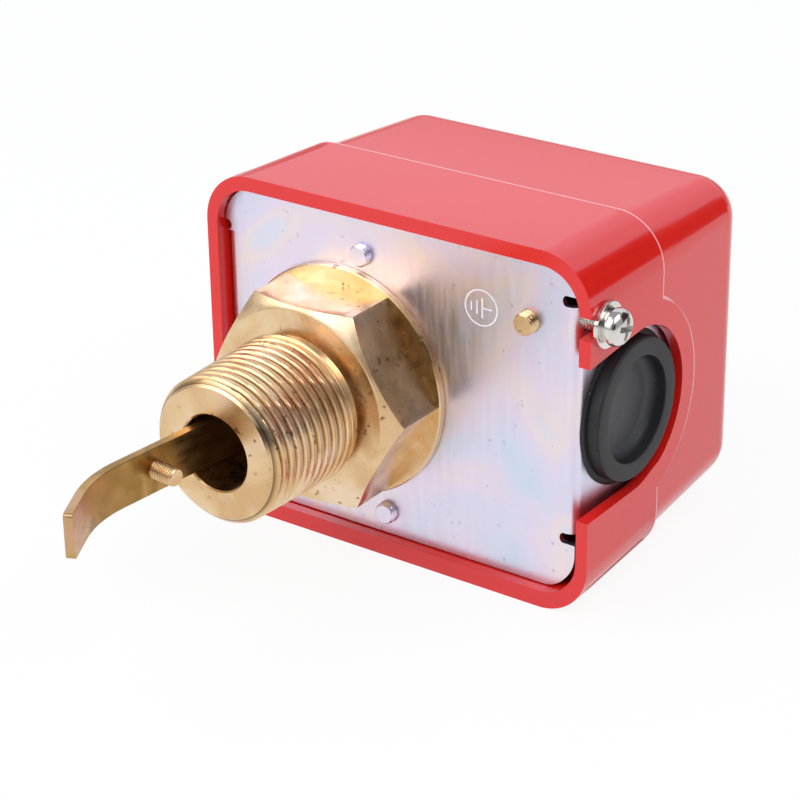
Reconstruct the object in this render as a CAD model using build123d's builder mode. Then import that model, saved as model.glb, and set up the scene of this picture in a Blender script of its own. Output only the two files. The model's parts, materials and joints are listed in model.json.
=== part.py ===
from build123d import *
import os
from math import cos, radians, sin, tan

# A paddle flow switch, in millimetres. The origin is on the pipe thread's axis, at the thread's
# gauge plane. The thread points to -Y, the cable entry to +X, and +Z is up when the switch
# lies on its cover.

# --- pipe fitting, R 1 thread -------------------------------------------------------------------
gauge_radius = 16.62
gauge_from_nose = 13.5
nose_radius = 14.57
bore_radius = 8.5
fitting_length = 45.2
relief_length = 3.33
relief_radius = 15.46
hex_width = 45.0
hex_thickness = 14.77
hex_chamfer_inset = 0.9
hex_chamfer_angle = 30
disc_margin = 0.62
disc_thickness = 1.9
spigot_radius = 16.0
chamber_radius = 13.0
chamber_depth = 13.5
lock_ring_radius = 21.0
lock_ring_thickness = 3.0
lock_ring_notch = 4.0
spigot_proud = 0.4

# --- base plate ---------------------------------------------------------------------------------
sheet = 1.5
bend_radius = 0.9
flange_shoulder = 4.0
left_flange_depth = 21.0
flange_lobe_radius = 21.4
notch_width = 2.4
right_notch_depth = 4.1
left_notch_depth = 1.5
right_flange_top = 30.2
right_flange_bottom = -21.6
left_flange_top = 27.8
left_flange_bottom = -21.6

# --- cover --------------------------------------------------------------------------------------
cover_left = -35.0
cover_right = 64.2
room_below_bracket = 0.8
room_above_bracket = 3.2
cover_corner = 12.0
cover_length = 72.2
rim_overhang = 2.7
side_wall = 2.8
top_wall = 3.3
bottom_wall = 3.9
skirt_length = 30.8
skirt_draft = 0.75
skirt_inner_draft = 0.25
step_inset = 0.9
rear_draft = 2.9
rear_edge_fillet = 8.5
rear_wall = 2.8
step_lead = 2.0
plate_gap = 0.35
entry_radius = 18.8
entry_depth = 18.8
entry_height = 1.4
entry_pad = 5.5
entry_mouth_inset = 1.2
slot_height = 4.9
slot_above_screw = 0.4
rib_height = 2.2
rib_thickness = 1.6
rib_places = (-20.0, 45.0)
rib_play = 0.1

# --- cover screw --------------------------------------------------------------------------------
cover_screw_depth = 3.0
screw_height = 27.2
washer_hole_gap = 0.15
cover_screw_edge = 1.0
m4_radius = 2.0
screw_lead = 0.4
m5_radius = 2.5
thread_gap = 0.02
flat_washer_radius = 5.0
flat_washer_thickness = 1.0
spring_washer_radius = 3.6
spring_washer_thickness = 1.1
pan_radius = 4.05
pan_height = 3.0
cover_screw_length = 7.8

# --- cable grommet ------------------------------------------------------------------------------
grommet_radius = 17.5
grommet_hole_radius = 14.1
grommet_proud = 3.0
grommet_neck_gap = 0.05
grommet_inner_radius = 16.4
grommet_inner_thickness = 1.6
grommet_inner_edge = 1.0
grommet_edge = 2.2
grommet_edge_depth = 1.6
grommet_root_edge = 0.5
dish_radius = 11.85
dish_depth = 4.4
dish_wall = 1.2
dish_corner = 1.2

# --- paddle arm and rocker ----------------------------------------------------------------------
pivot_depth = 10.0
pivot_x = -3.0
arm_tilt = 5.15
arm_swing = 9.5
strip_width = 10.0
strip_thickness = 2.0
strip_inner_end = 4.0
strip_straight = 77.0
strip_bend_angle = 32.0
strip_bend_radius = 26.5
strip_tip_length = 8.8
strip_tip_corner = 0.9
stud_radius = 2.05
stud_neck_radius = 1.7
stud_length = 5.8
stud_from_pivot = 67.3
stud_head_radius = 3.2
stud_head_height = 0.8
stud_lead = 0.5
rivet_radius = 1.2
rivet_head_radius = 2.0
rivet_head_height = 0.7
rivet_spacing = 5.2
rocker_ear_gap = 2.0
rocker_front = 4.2
rocker_back = 5.0
rocker_ear_radius = 4.3
rocker_bend = 2.0
tongue_length = 26.0
switch_tongue_low = 8.0
switch_tongue_high = 18.0
spring_tongue_low = -14.0
spring_tongue_high = -4.0
spring_tongue_length = 25.0
tongue_corner = 1.5
button_from_pivot = 23.0
button_radius = 3.0
button_height = 2.6
button_stem_radius = 1.5
button_stem_depth = 0.8

# --- bellows seal -------------------------------------------------------------------------------
bellows_inner_radius = 6.6
bellows_outer_radius = 9.0
bellows_wall = 0.4
bellows_turns = 5
bellows_pitch = 1.6
bellows_cuff = 1.0
bellows_front_depth = 10.0
bellows_ring_length = 2.2
bellows_ring_inset = 0.8
cap_radius = 8.4
cap_thickness = 1.2
solder_gap = 0.05
slot_gap = 0.05

# --- mechanism bracket --------------------------------------------------------------------------
bracket_left = -9.0
bracket_right = 25.0
switch_end_gap = 1.5
cheek_height = 22.3
upper_foot = 12.2
lower_foot = 11.0
bracket_bend = 1.2
window_width = 18.0
window_height = 26.0
window_corner = 3.0
range_arm_reach = 12.5
range_tab_half_width = 7.5
range_tab_top = -3.0
range_tab_corner = 2.0
pivot_pin_radius = 2.0
running_gap = 0.06
pivot_head_radius = 4.0
pivot_head_height = 1.2
pivot_head_edge = 0.4
pivot_washer_play = 0.1
pivot_pin_inner = 2.6
clip_thickness = 0.6
clip_radius = 3.6
clip_groove_depth = 0.5
clip_from_ear = 0.4
upper_screw_x = 5.3
upper_screw_from_cheek = 6.26
lower_screw_x = 10.96
lower_screw_from_cheek = 6.2
bracket_screw_tip = 1.7
bracket_screw_head_radius = 4.4
bracket_screw_head_height = 3.4
bracket_screw_edge = 1.2
bracket_washer_radius = 4.1
bracket_washer_thickness = 1.2

# --- snap-action switch -------------------------------------------------------------------------
switch_length = 42.0
switch_height = 24.0
switch_thickness = 17.45
switch_start = 14.5
switch_edge = 0.8
leaf_thickness = 0.5
leaf_width = 7.0
leaf_pivot_depth = 18.0
leaf_reach = 21.0
leaf_rest_gap = 0.5
leaf_eye_radius = 1.35
leaf_pin_radius = 0.7
leaf_button_gap = 0.12
leaf_lug_radius = 1.8
leaf_lug_thickness = 1.2
leaf_pin_overhang = 0.3
leaf_side_gap = 0.3
plunger_radius = 1.6
plunger_from_leaf_pivot = 6.5
plunger_inner_length = 4.5
plunger_end_room = 0.5
plunger_tip_fillet = 0.4
switch_screw_spacing = 25.4
switch_screw_from_face = 10.0
switch_screw_radius = 2.0
switch_hole_radius = 2.1
nut_width = 7.0
nut_height = 3.0
switch_screw_proud = 1.0
switch_screw_edge = 0.8
terminal_count = 3
terminal_pitch = 13.0
terminal_bay_width = 10.4
terminal_bay_depth = 4.0
terminal_plate_thickness = 0.8
terminal_plate_gap = 0.15
terminal_plate_margin = 1.0
terminal_clamp_size = 8.4
terminal_clamp_thickness = 1.1
terminal_head_radius = 3.6
terminal_head_height = 2.6
terminal_screw_radius = 1.75
terminal_screw_length = 8.0
terminal_screw_edge = 0.8
terminal_clamp_corner = 1.0

# --- range spring and screw ---------------------------------------------------------------------
range_axis_depth = 30.0
range_axis_height = -9.0
range_screw_length = 15.0
range_head_radius = 3.6
range_head_height = 2.8
range_head_slot = 1.0
range_screw_edge = 0.4
range_clip_play = 0.1
seat_size = 8.0
seat_thickness = 3.0
seat_from_tab = 2.6
seat_corner = 0.8
spring_radius = 3.1
spring_wire = 0.9
spring_turns = 6
spring_end_gap = 0.1

# --- earth screw --------------------------------------------------------------------------------
earth_place = (47.6, 24.8)
earth_tip = 2.5
earth_head_radius = 4.6
earth_head_height = 3.2
earth_screw_edge = 1.2
earth_clamp_size = 11.0
earth_clamp_thickness = 1.2
earth_clamp_corner = 1.5

# --- places that follow from the sizes above ----------------------------------------------------
nose_face = -gauge_from_nose
disc_radius = hex_width / 2 / cos(radians(30)) + disc_margin
plate_front = nose_face + fitting_length
plate_back = plate_front + sheet
disc_front = plate_front - disc_thickness
hex_front = disc_front - hex_thickness
thread_end = hex_front - relief_length
nose_chamfer = gauge_radius - nose_radius
spigot_end = plate_back + lock_ring_thickness + spigot_proud
rim_front = plate_front - rim_overhang
cover_back = rim_front + cover_length
cheek_outer = cheek_height + sheet
foot_top = cheek_outer + upper_foot
foot_bottom = -cheek_outer - lower_foot
cover_top = foot_top + room_above_bracket + top_wall
cover_bottom = foot_bottom - room_below_bracket - bottom_wall
cover_width = cover_right - cover_left
cover_height = cover_top - cover_bottom
cover_middle_x = (cover_left + cover_right) / 2
cover_middle_z = (cover_bottom + cover_top) / 2
opening_left = cover_left + side_wall
opening_right = cover_right - side_wall
opening_bottom = cover_bottom + bottom_wall
opening_top = cover_top - top_wall
opening_corner = cover_corner - side_wall
plate_left = opening_left + plate_gap
plate_right = opening_right - plate_gap
plate_bottom = opening_bottom + plate_gap
plate_top = opening_top - plate_gap
plate_corner = opening_corner - plate_gap
pivot_y = plate_front + pivot_depth
ear_outer = cheek_height - rocker_ear_gap
bracket_depth = switch_start + switch_length + switch_end_gap + sheet
bracket_screw_places = (
    (upper_screw_x, cheek_outer + upper_screw_from_cheek),
    (lower_screw_x, -cheek_outer - lower_screw_from_cheek),
)
web_face = strip_thickness / 2 + sheet
entry_y = plate_front + entry_depth
cover_screw_y = plate_front + cover_screw_depth
range_y = plate_front + range_axis_depth
tab_outer = bracket_left + sheet - range_arm_reach
tab_inner = tab_outer + sheet


def facing_front(y):
    """Plane across the pipe axis, X to the right and Z up, its normal to -Y."""
    return Plane(origin=(0, y, 0), x_dir=(1, 0, 0), z_dir=(0, -1, 0))


def facing_back(y):
    """Plane across the pipe axis with its normal to +Y: its own X runs to -X."""
    return Plane(origin=(0, y, 0), x_dir=(-1, 0, 0), z_dir=(0, 1, 0))


# the arm's own frame: X across the strip, Y along it towards the switch, Z as the row's
arm_across = Vector(cos(radians(arm_tilt)), -sin(radians(arm_tilt)), 0)
arm_plane = Plane(
    origin=Vector(pivot_x, pivot_y, 0) + arm_across * (-pivot_x),
    x_dir=arm_across,
    z_dir=(0, 0, 1),
)
strip_plane = Plane(origin=arm_plane.origin, x_dir=(0, 0, -1), z_dir=arm_across)
pivot_axis = Axis((pivot_x, pivot_y, 0), (0, 0, 1))

button_tip = arm_plane.from_local_coords((web_face + button_height, button_from_pivot, 0))
leaf_front = button_tip.X + leaf_button_gap
switch_face = leaf_front + leaf_thickness + leaf_rest_gap
switch_front_y = plate_front + switch_start
switch_top = cheek_height
switch_bottom = switch_top - switch_thickness
switch_middle = (switch_top + switch_bottom) / 2
leaf_pivot_y = plate_front + leaf_pivot_depth
leaf_pivot_x = leaf_front + leaf_thickness - leaf_eye_radius
plunger_y = leaf_pivot_y + plunger_from_leaf_pivot
switch_back = switch_face + switch_height
terminal_floor = switch_back - terminal_bay_depth


# --- base plate ---------------------------------------------------------------------------------
def bent_flange(side, depth, bottom, top):
    """Flange bent back from the plate's edge, with its outer face at x = side."""
    inward = -1 if side > 0 else 1
    middle_x = side + inward * sheet / 2
    middle_y = plate_front + sheet / 2
    with BuildPart() as flange:
        with BuildSketch(Plane.XY.offset(bottom)):
            with BuildLine():
                FilletPolyline(
                    (middle_x + inward * bend_zone, middle_y),
                    (middle_x, middle_y),
                    (middle_x, plate_front + depth),
                    radius=bend_radius + sheet / 2,
                )
            trace(line_width=sheet)
        extrude(amount=top - bottom)
    return flange.part


bend_zone = 2 * (bend_radius + sheet)
right_flange_depth = entry_depth + flange_lobe_radius
shoulder_y = entry_y - flange_shoulder

with BuildPart() as right_flange:
    add(bent_flange(plate_right, right_flange_depth, right_flange_bottom, right_flange_top))
    # the flange runs back as a lug that rounds the cable entry
    with BuildSketch(Plane.YZ.offset(plate_right - 2 * bend_zone)):
        with Locations(((plate_front + shoulder_y) / 2, (right_flange_bottom + right_flange_top) / 2)):
            Rectangle(shoulder_y - plate_front, right_flange_top - right_flange_bottom)
        with Locations((entry_y, entry_height)):
            Circle(flange_lobe_radius)
    extrude(amount=2 * bend_zone, mode=Mode.INTERSECT)

with BuildPart() as base_plate:
    with BuildSketch(facing_front(plate_front)) as plate_outline:
        with BuildLine():
            Polyline(
                (plate_left, plate_bottom),
                (plate_right, plate_bottom),
                (plate_right, plate_top),
                (plate_left, plate_top),
                close=True,
            )
        make_face()
        fillet(plate_outline.vertices(), plate_corner)
        # the edge is cut back where the flanges bend, with a relief notch at each end
        for side, top, bottom, depth in (
            (plate_right, right_flange_top, right_flange_bottom, right_notch_depth),
            (plate_left, left_flange_top, left_flange_bottom, left_notch_depth),
        ):
            inward = -1 if side > 0 else 1
            with Locations((side, (top + bottom) / 2)):
                Rectangle(bend_zone, top - bottom, mode=Mode.SUBTRACT)
            for z in (top + notch_width / 2, bottom - notch_width / 2):
                with Locations((side + inward * (depth - notch_width / 2) / 2, z)):
                    Rectangle(depth - notch_width / 2, notch_width, mode=Mode.SUBTRACT)
                with Locations((side + inward * (depth - notch_width / 2), z)):
                    Circle(notch_width / 2, mode=Mode.SUBTRACT)
    extrude(amount=-sheet)
    add(right_flange.part)
    add(bent_flange(plate_left, left_flange_depth, left_flange_bottom, left_flange_top))
    with BuildSketch(facing_front(plate_front)):
        Circle(spigot_radius + thread_gap)
        with Locations(*bracket_screw_places):
            Circle(m5_radius + thread_gap)
        with Locations(earth_place):
            Circle(m5_radius + thread_gap)
    extrude(amount=-sheet, mode=Mode.SUBTRACT)
    with BuildSketch(Plane.YZ.offset(plate_right - bend_zone)):
        with Locations((entry_y, entry_height)):
            Circle(grommet_hole_radius)
        with Locations((cover_screw_y, screw_height)):
            Circle(m4_radius + thread_gap)
    extrude(amount=bend_zone, mode=Mode.SUBTRACT)


# --- pipe fitting -------------------------------------------------------------------------------
with BuildPart() as pipe_fitting:
    with BuildSketch(facing_front(hex_front)):
        RegularPolygon(radius=hex_width / 2, side_count=6, major_radius=False)
    extrude(amount=-hex_thickness)
    with BuildSketch(Plane.XY):
        with BuildLine():
            flat_radius = hex_width / 2 - hex_chamfer_inset
            Polyline(
                (0, hex_front),
                (flat_radius, hex_front),
                (disc_radius, hex_front + (disc_radius - flat_radius) * tan(radians(hex_chamfer_angle))),
                (disc_radius, disc_front),
                (0, disc_front),
                close=True,
            )
        make_face()
    revolve(axis=Axis.Y, mode=Mode.INTERSECT)
    with BuildSketch(Plane.XY):
        with BuildLine():
            Polyline(
                (0, nose_face),
                (nose_radius, nose_face),
                (gauge_radius, nose_face + nose_chamfer),
                (gauge_radius, thread_end),
                (relief_radius, thread_end),
                (relief_radius, hex_front),
                (relief_radius, disc_front),
                (disc_radius, disc_front),
                (disc_radius, plate_front),
                (spigot_radius, plate_front),
                (spigot_radius, spigot_end),
                (0, spigot_end),
                close=True,
            )
        make_face()
    revolve(axis=Axis.Y)
    with BuildSketch(facing_front(nose_face)):
        Circle(bore_radius)
    extrude(amount=-(spigot_end - nose_face), mode=Mode.SUBTRACT)
    with BuildSketch(facing_front(plate_front - chamber_depth)):
        Circle(chamber_radius)
    extrude(amount=-(spigot_end - plate_front + chamber_depth), mode=Mode.SUBTRACT)

with BuildPart() as fitting_lock_ring:
    with BuildSketch(facing_front(plate_back)):
        Circle(lock_ring_radius)
        Circle(spigot_radius + thread_gap, mode=Mode.SUBTRACT)
        with PolarLocations(lock_ring_radius, 4, start_angle=45):
            Rectangle(lock_ring_notch, lock_ring_notch, mode=Mode.SUBTRACT)
    extrude(amount=-lock_ring_thickness)


# --- bellows seal, which lets the arm tilt and keeps the water in the pipe ------------------------
bellows_front = plate_front - bellows_front_depth
folds_front = bellows_front + bellows_cuff
folds_back = folds_front + bellows_turns * bellows_pitch
ring_front = plate_back - bellows_ring_inset + solder_gap
ring_back = ring_front + bellows_ring_length

with BuildPart() as bellows:
    with BuildSketch(Plane.XY):
        with BuildLine():
            cuff_radius = bellows_inner_radius + bellows_wall
            outside = [(cuff_radius, bellows_front), (cuff_radius, folds_front)]
            inside = [(bellows_inner_radius, bellows_front), (bellows_inner_radius, folds_front)]
            for turn in range(bellows_turns):
                crest_y = folds_front + (turn + 0.5) * bellows_pitch
                valley_y = folds_front + (turn + 1) * bellows_pitch
                outside += [(bellows_outer_radius, crest_y), (cuff_radius, valley_y)]
                inside += [(bellows_outer_radius - bellows_wall, crest_y), (bellows_inner_radius, valley_y)]
            outside.append((cuff_radius, ring_back))
            inside.append((bellows_inner_radius, ring_back))
            Polyline(*outside, *reversed(inside), close=True)
        make_face()
    revolve(axis=Axis.Y)

with BuildPart() as bellows_ring:
    with BuildSketch(facing_front(ring_front)):
        Circle(chamber_radius - thread_gap)
        Circle(bellows_inner_radius + bellows_wall + thread_gap, mode=Mode.SUBTRACT)
    extrude(amount=-bellows_ring_length)

with BuildPart() as bellows_cap:
    with BuildSketch(facing_front(bellows_front - solder_gap)):
        Circle(cap_radius)
    extrude(amount=cap_thickness)
    with BuildSketch(arm_plane):
        with Locations((0, -strip_straight / 2)):
            Rectangle(strip_thickness + 2 * slot_gap, strip_straight)
    extrude(amount=strip_width / 2 + slot_gap, both=True, mode=Mode.SUBTRACT)


# --- paddle arm ---------------------------------------------------------------------------------
with BuildPart() as paddle_arm:
    with BuildLine(arm_plane) as arm_path:
        straight = Line((0, strip_inner_end), (0, -strip_straight))
        curve = JernArc(
            start=straight @ 1,
            tangent=straight % 1,
            radius=strip_bend_radius,
            arc_size=strip_bend_angle,
        )
        Line(curve @ 1, curve @ 1 + (curve % 1) * strip_tip_length)
    with BuildSketch(Plane(origin=arm_path.line @ 0, x_dir=(0, 0, 1), z_dir=arm_path.line % 0)):
        Rectangle(strip_width, strip_thickness)
    sweep()
    tip_edges = paddle_arm.faces().sort_by(Axis.Y)[0].edges().sort_by(SortBy.LENGTH)[:2]
    fillet(tip_edges, strip_tip_corner)
    with BuildSketch(strip_plane):
        with Locations((0, -stud_from_pivot)):
            Circle(stud_neck_radius + thread_gap)
        with GridLocations(rivet_spacing, 1, 2, 1):
            Circle(rivet_radius + thread_gap)
    extrude(amount=strip_thickness, both=True, mode=Mode.SUBTRACT)


def arm_turning_plane(along, height):
    """Plane through a point on the arm, its X across the strip and its Y along it."""
    origin = arm_plane.from_local_coords((0, along, height))
    return Plane(origin=origin, x_dir=arm_across, z_dir=(0, 0, 1))


with BuildPart() as paddle_stud:
    stud_plane = arm_turning_plane(-stud_from_pivot, 0)
    with BuildSketch(stud_plane):
        with BuildLine():
            half = strip_thickness / 2
            tip = half + stud_length
            Polyline(
                (-half - stud_head_height, 0),
                (-half - stud_head_height, stud_head_radius - stud_lead),
                (-half - stud_head_height + stud_lead, stud_head_radius),
                (-half, stud_head_radius),
                (-half, stud_neck_radius),
                (half, stud_neck_radius),
                (half, stud_radius),
                (tip - stud_lead, stud_radius),
                (tip, stud_radius - stud_lead),
                (tip, 0),
                close=True,
            )
        make_face()
    revolve(axis=Axis(stud_plane.origin, arm_across))

with BuildPart() as arm_rivets:
    for z in (-rivet_spacing / 2, rivet_spacing / 2):
        rivet_plane = arm_turning_plane(0, z)
        with BuildSketch(rivet_plane):
            with BuildLine():
                back = -strip_thickness / 2
                Polyline(
                    (back - rivet_head_height, 0),
                    (back - rivet_head_height, rivet_radius),
                    (back, rivet_head_radius),
                    (back, rivet_radius),
                    (web_face, rivet_radius),
                    (web_face, rivet_head_radius),
                    (web_face + rivet_head_height, rivet_radius),
                    (web_face + rivet_head_height, 0),
                    close=True,
                )
            make_face()
        revolve(axis=Axis(rivet_plane.origin, arm_across))

with BuildPart() as rocker:
    # wide web that the strip is riveted to, its ends bent into ears that turn on the pivot pins
    with BuildSketch(Plane(origin=arm_plane.from_local_coords((0, -rocker_front, 0)), x_dir=arm_across,
                           z_dir=-arm_plane.y_dir)):
        with BuildLine():
            web_middle = strip_thickness / 2 + sheet / 2
            ear_middle = ear_outer - sheet / 2
            FilletPolyline(
                (pivot_x - rocker_ear_radius, -ear_middle),
                (web_middle, -ear_middle),
                (web_middle, ear_middle),
                (pivot_x - rocker_ear_radius, ear_middle),
                radius=rocker_bend - sheet / 2,
            )
        trace(line_width=sheet)
    extrude(amount=-(rocker_front + rocker_back))
    with BuildSketch(arm_plane):
        with Locations((pivot_x, 0)):
            Circle(rocker_ear_radius)
        with Locations(((web_face + pivot_x) / 2, (rocker_back - rocker_front) / 2)):
            Rectangle(web_face - pivot_x, rocker_back + rocker_front)
    extrude(amount=ear_outer, both=True, mode=Mode.INTERSECT)
    # tongues to the switch and to the range spring
    for low, high, reach in (
        (switch_tongue_low, switch_tongue_high, tongue_length),
        (spring_tongue_low, spring_tongue_high, spring_tongue_length),
    ):
        with BuildSketch(strip_plane.offset(strip_thickness / 2)):
            with Locations((-(low + high) / 2, reach / 2)):
                RectangleRounded(high - low, reach, tongue_corner)
        extrude(amount=sheet)
    with BuildSketch(strip_plane):
        with GridLocations(rivet_spacing, 1, 2, 1):
            Circle(rivet_radius + thread_gap)
        with Locations((-switch_middle, button_from_pivot)):
            Circle(button_stem_radius + thread_gap)
    extrude(amount=web_face + sheet, mode=Mode.SUBTRACT)
    with BuildSketch(arm_plane):
        with Locations((pivot_x, 0)):
            Circle(pivot_pin_radius + running_gap)
    extrude(amount=ear_outer, both=True, mode=Mode.SUBTRACT)

with BuildPart() as actuator_button:
    button_plane = arm_turning_plane(button_from_pivot, switch_middle)
    with BuildSketch(button_plane):
        with BuildLine():
            stem_back = web_face - sheet - button_stem_depth
            dome_height = button_height / 2
            dome_radius = (button_radius ** 2 + dome_height ** 2) / (2 * dome_height)
            head = Polyline(
                (web_face + button_height, 0),
                (stem_back, 0),
                (stem_back, button_stem_radius),
                (web_face, button_stem_radius),
                (web_face, button_radius),
                (web_face + dome_height, button_radius),
            )
            RadiusArc(head @ 1, head @ 0, dome_radius)
        make_face()
    revolve(axis=Axis(button_plane.origin, arm_across))


# --- mechanism bracket --------------------------------------------------------------------------
with BuildPart() as mechanism_bracket:
    with BuildSketch(Plane.YZ.offset(tab_outer)) as hat_section:
        with BuildLine():
            middle = plate_back + sheet / 2
            rear = plate_front + bracket_depth - sheet / 2
            side = cheek_height + sheet / 2
            FilletPolyline(
                (middle, foot_top),
                (middle, side),
                (rear, side),
                (rear, -side),
                (middle, -side),
                (middle, foot_bottom),
                radius=bracket_bend + sheet / 2,
            )
        trace(line_width=sheet)
    extrude(amount=bracket_right - tab_outer)
    # only the lower cheek reaches out to the range tab
    reach_middle = (tab_outer + bracket_left) / 2
    reach_width = bracket_left - tab_outer
    tab_front = range_y - range_tab_half_width
    tab_back = range_y + range_tab_half_width
    with BuildSketch(Plane.XY.offset(foot_bottom)):
        with Locations((reach_middle, (plate_back + tab_front) / 2)):
            Rectangle(reach_width, tab_front - plate_back)
        with Locations((reach_middle, (tab_back + plate_front + bracket_depth) / 2)):
            Rectangle(reach_width, plate_front + bracket_depth - tab_back)
    extrude(amount=foot_top - foot_bottom, mode=Mode.SUBTRACT)
    with BuildSketch(Plane.XY):
        with Locations((reach_middle, range_y)):
            Rectangle(reach_width, tab_back - tab_front)
    extrude(amount=foot_top, mode=Mode.SUBTRACT)
    with BuildSketch(Plane.YZ.offset(tab_outer)):
        tab_bottom = -cheek_outer
        with Locations((range_y, (range_tab_top + tab_bottom) / 2)):
            Rectangle(2 * range_tab_half_width, range_tab_top - tab_bottom)
    extrude(amount=sheet)
    near = sheet / 100
    tab_corners = mechanism_bracket.edges().filter_by(Axis.X).filter_by(
        lambda e: abs(e.center().Z - range_tab_top) < near
    )
    fillet(tab_corners, range_tab_corner)
    tab_bend = mechanism_bracket.edges().filter_by(Axis.Y).filter_by(
        lambda e: abs(e.center().X - tab_outer) < near and abs(e.center().Z - tab_bottom) < near
    )
    fillet(tab_bend, bracket_bend + sheet)
    # window in the rear bridge
    with BuildSketch(facing_front(rear - sheet)):
        with Locations(((bracket_left + bracket_right) / 2, 0)):
            RectangleRounded(window_width, window_height, window_corner)
    extrude(amount=-2 * sheet, mode=Mode.SUBTRACT)
    with BuildSketch(facing_front(plate_back)):
        with Locations(*bracket_screw_places):
            Circle(m5_radius + thread_gap)
    extrude(amount=-sheet, mode=Mode.SUBTRACT)
    # holes for the pivot pins
    with BuildSketch(Plane.XY.offset(-cheek_outer)):
        with Locations((pivot_x, pivot_y)):
            Circle(pivot_pin_radius + thread_gap)
    extrude(amount=2 * cheek_outer, mode=Mode.SUBTRACT)
    switch_hole_x = switch_face + switch_screw_from_face
    switch_middle_y = switch_front_y + switch_length / 2
    with BuildSketch(Plane.XY.offset(cheek_height)):
        with Locations((switch_hole_x, switch_middle_y)):
            with GridLocations(1, switch_screw_spacing, 1, 2):
                Circle(switch_hole_radius)
    extrude(amount=sheet, mode=Mode.SUBTRACT)
    with BuildSketch(Plane.YZ.offset(tab_outer)):
        with Locations((range_y, range_axis_height)):
            Circle(m4_radius + running_gap)
    extrude(amount=sheet, mode=Mode.SUBTRACT)


def washer(plane, hole, rim, thickness):
    """Flat ring that starts on the plane and grows along its normal."""
    with BuildPart() as ring:
        with BuildSketch(plane):
            Circle(rim)
            Circle(hole, mode=Mode.SUBTRACT)
        extrude(amount=thickness)
    return ring.part


def headed_screw(plane, shank, length, head, height, edge):
    """Screw whose head stands on the plane along its normal and whose shank runs the other way."""
    with BuildPart() as screw:
        with BuildSketch(plane):
            Circle(head)
        extrude(amount=height)
        rim = screw.faces().sort_by(Axis(plane.origin, plane.z_dir))[-1].edges()
        fillet(rim, edge)
        with BuildSketch(plane):
            Circle(shank)
        extrude(amount=-length)
        tip = screw.faces().sort_by(Axis(plane.origin, plane.z_dir))[0].edges()
        chamfer(tip, screw_lead)
    return screw.part


with BuildPart() as bracket_washers:
    for x, z in bracket_screw_places:
        seat = Plane(origin=(x, plate_back + sheet, z), z_dir=(0, 1, 0))
        add(washer(seat, m5_radius + thread_gap, bracket_washer_radius, bracket_washer_thickness))

with BuildPart() as bracket_screws:
    seat_y = plate_back + sheet + bracket_washer_thickness
    for x, z in bracket_screw_places:
        seat = Plane(origin=(x, seat_y, z), z_dir=(0, 1, 0))
        reach = seat_y - plate_front + bracket_screw_tip
        add(headed_screw(seat, m5_radius, reach, bracket_screw_head_radius, bracket_screw_head_height,
                         bracket_screw_edge))

with BuildPart() as pivot_pins:
    for side in (1, -1):
        with BuildSketch(Plane.YZ.offset(pivot_x)):
            with BuildLine():
                outer = cheek_outer
                inner = ear_outer - sheet - pivot_pin_inner
                groove_out = ear_outer - sheet - clip_from_ear
                groove_in = groove_out - clip_thickness
                groove = pivot_pin_radius - clip_groove_depth
                profile = (
                    (0, outer + pivot_head_height),
                    (pivot_head_radius - pivot_head_edge, outer + pivot_head_height),
                    (pivot_head_radius, outer + pivot_head_height - pivot_head_edge),
                    (pivot_head_radius, outer),
                    (pivot_pin_radius, outer),
                    (pivot_pin_radius, groove_out),
                    (groove, groove_out),
                    (groove, groove_in),
                    (pivot_pin_radius, groove_in),
                    (pivot_pin_radius, inner),
                    (0, inner),
                )
                Polyline(*[(pivot_y + r, side * z) for r, z in profile], close=True)
            make_face()
        revolve(axis=pivot_axis)

with BuildPart() as pivot_washers:
    thickness = rocker_ear_gap - 2 * pivot_washer_play
    for low in (ear_outer + pivot_washer_play, -cheek_height + pivot_washer_play):
        seat = Plane(origin=(pivot_x, pivot_y, low))
        add(washer(seat, pivot_pin_radius + running_gap, pivot_head_radius, thickness))

with BuildPart() as pivot_clips:
    for low in (groove_in, -groove_out):
        with BuildSketch(Plane(origin=(pivot_x, pivot_y, low))):
            Circle(clip_radius)
            Circle(groove + thread_gap, mode=Mode.SUBTRACT)
            with Locations((0, clip_radius)):
                Rectangle(2 * groove, 2 * clip_radius, mode=Mode.SUBTRACT)
        extrude(amount=clip_thickness)


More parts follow.
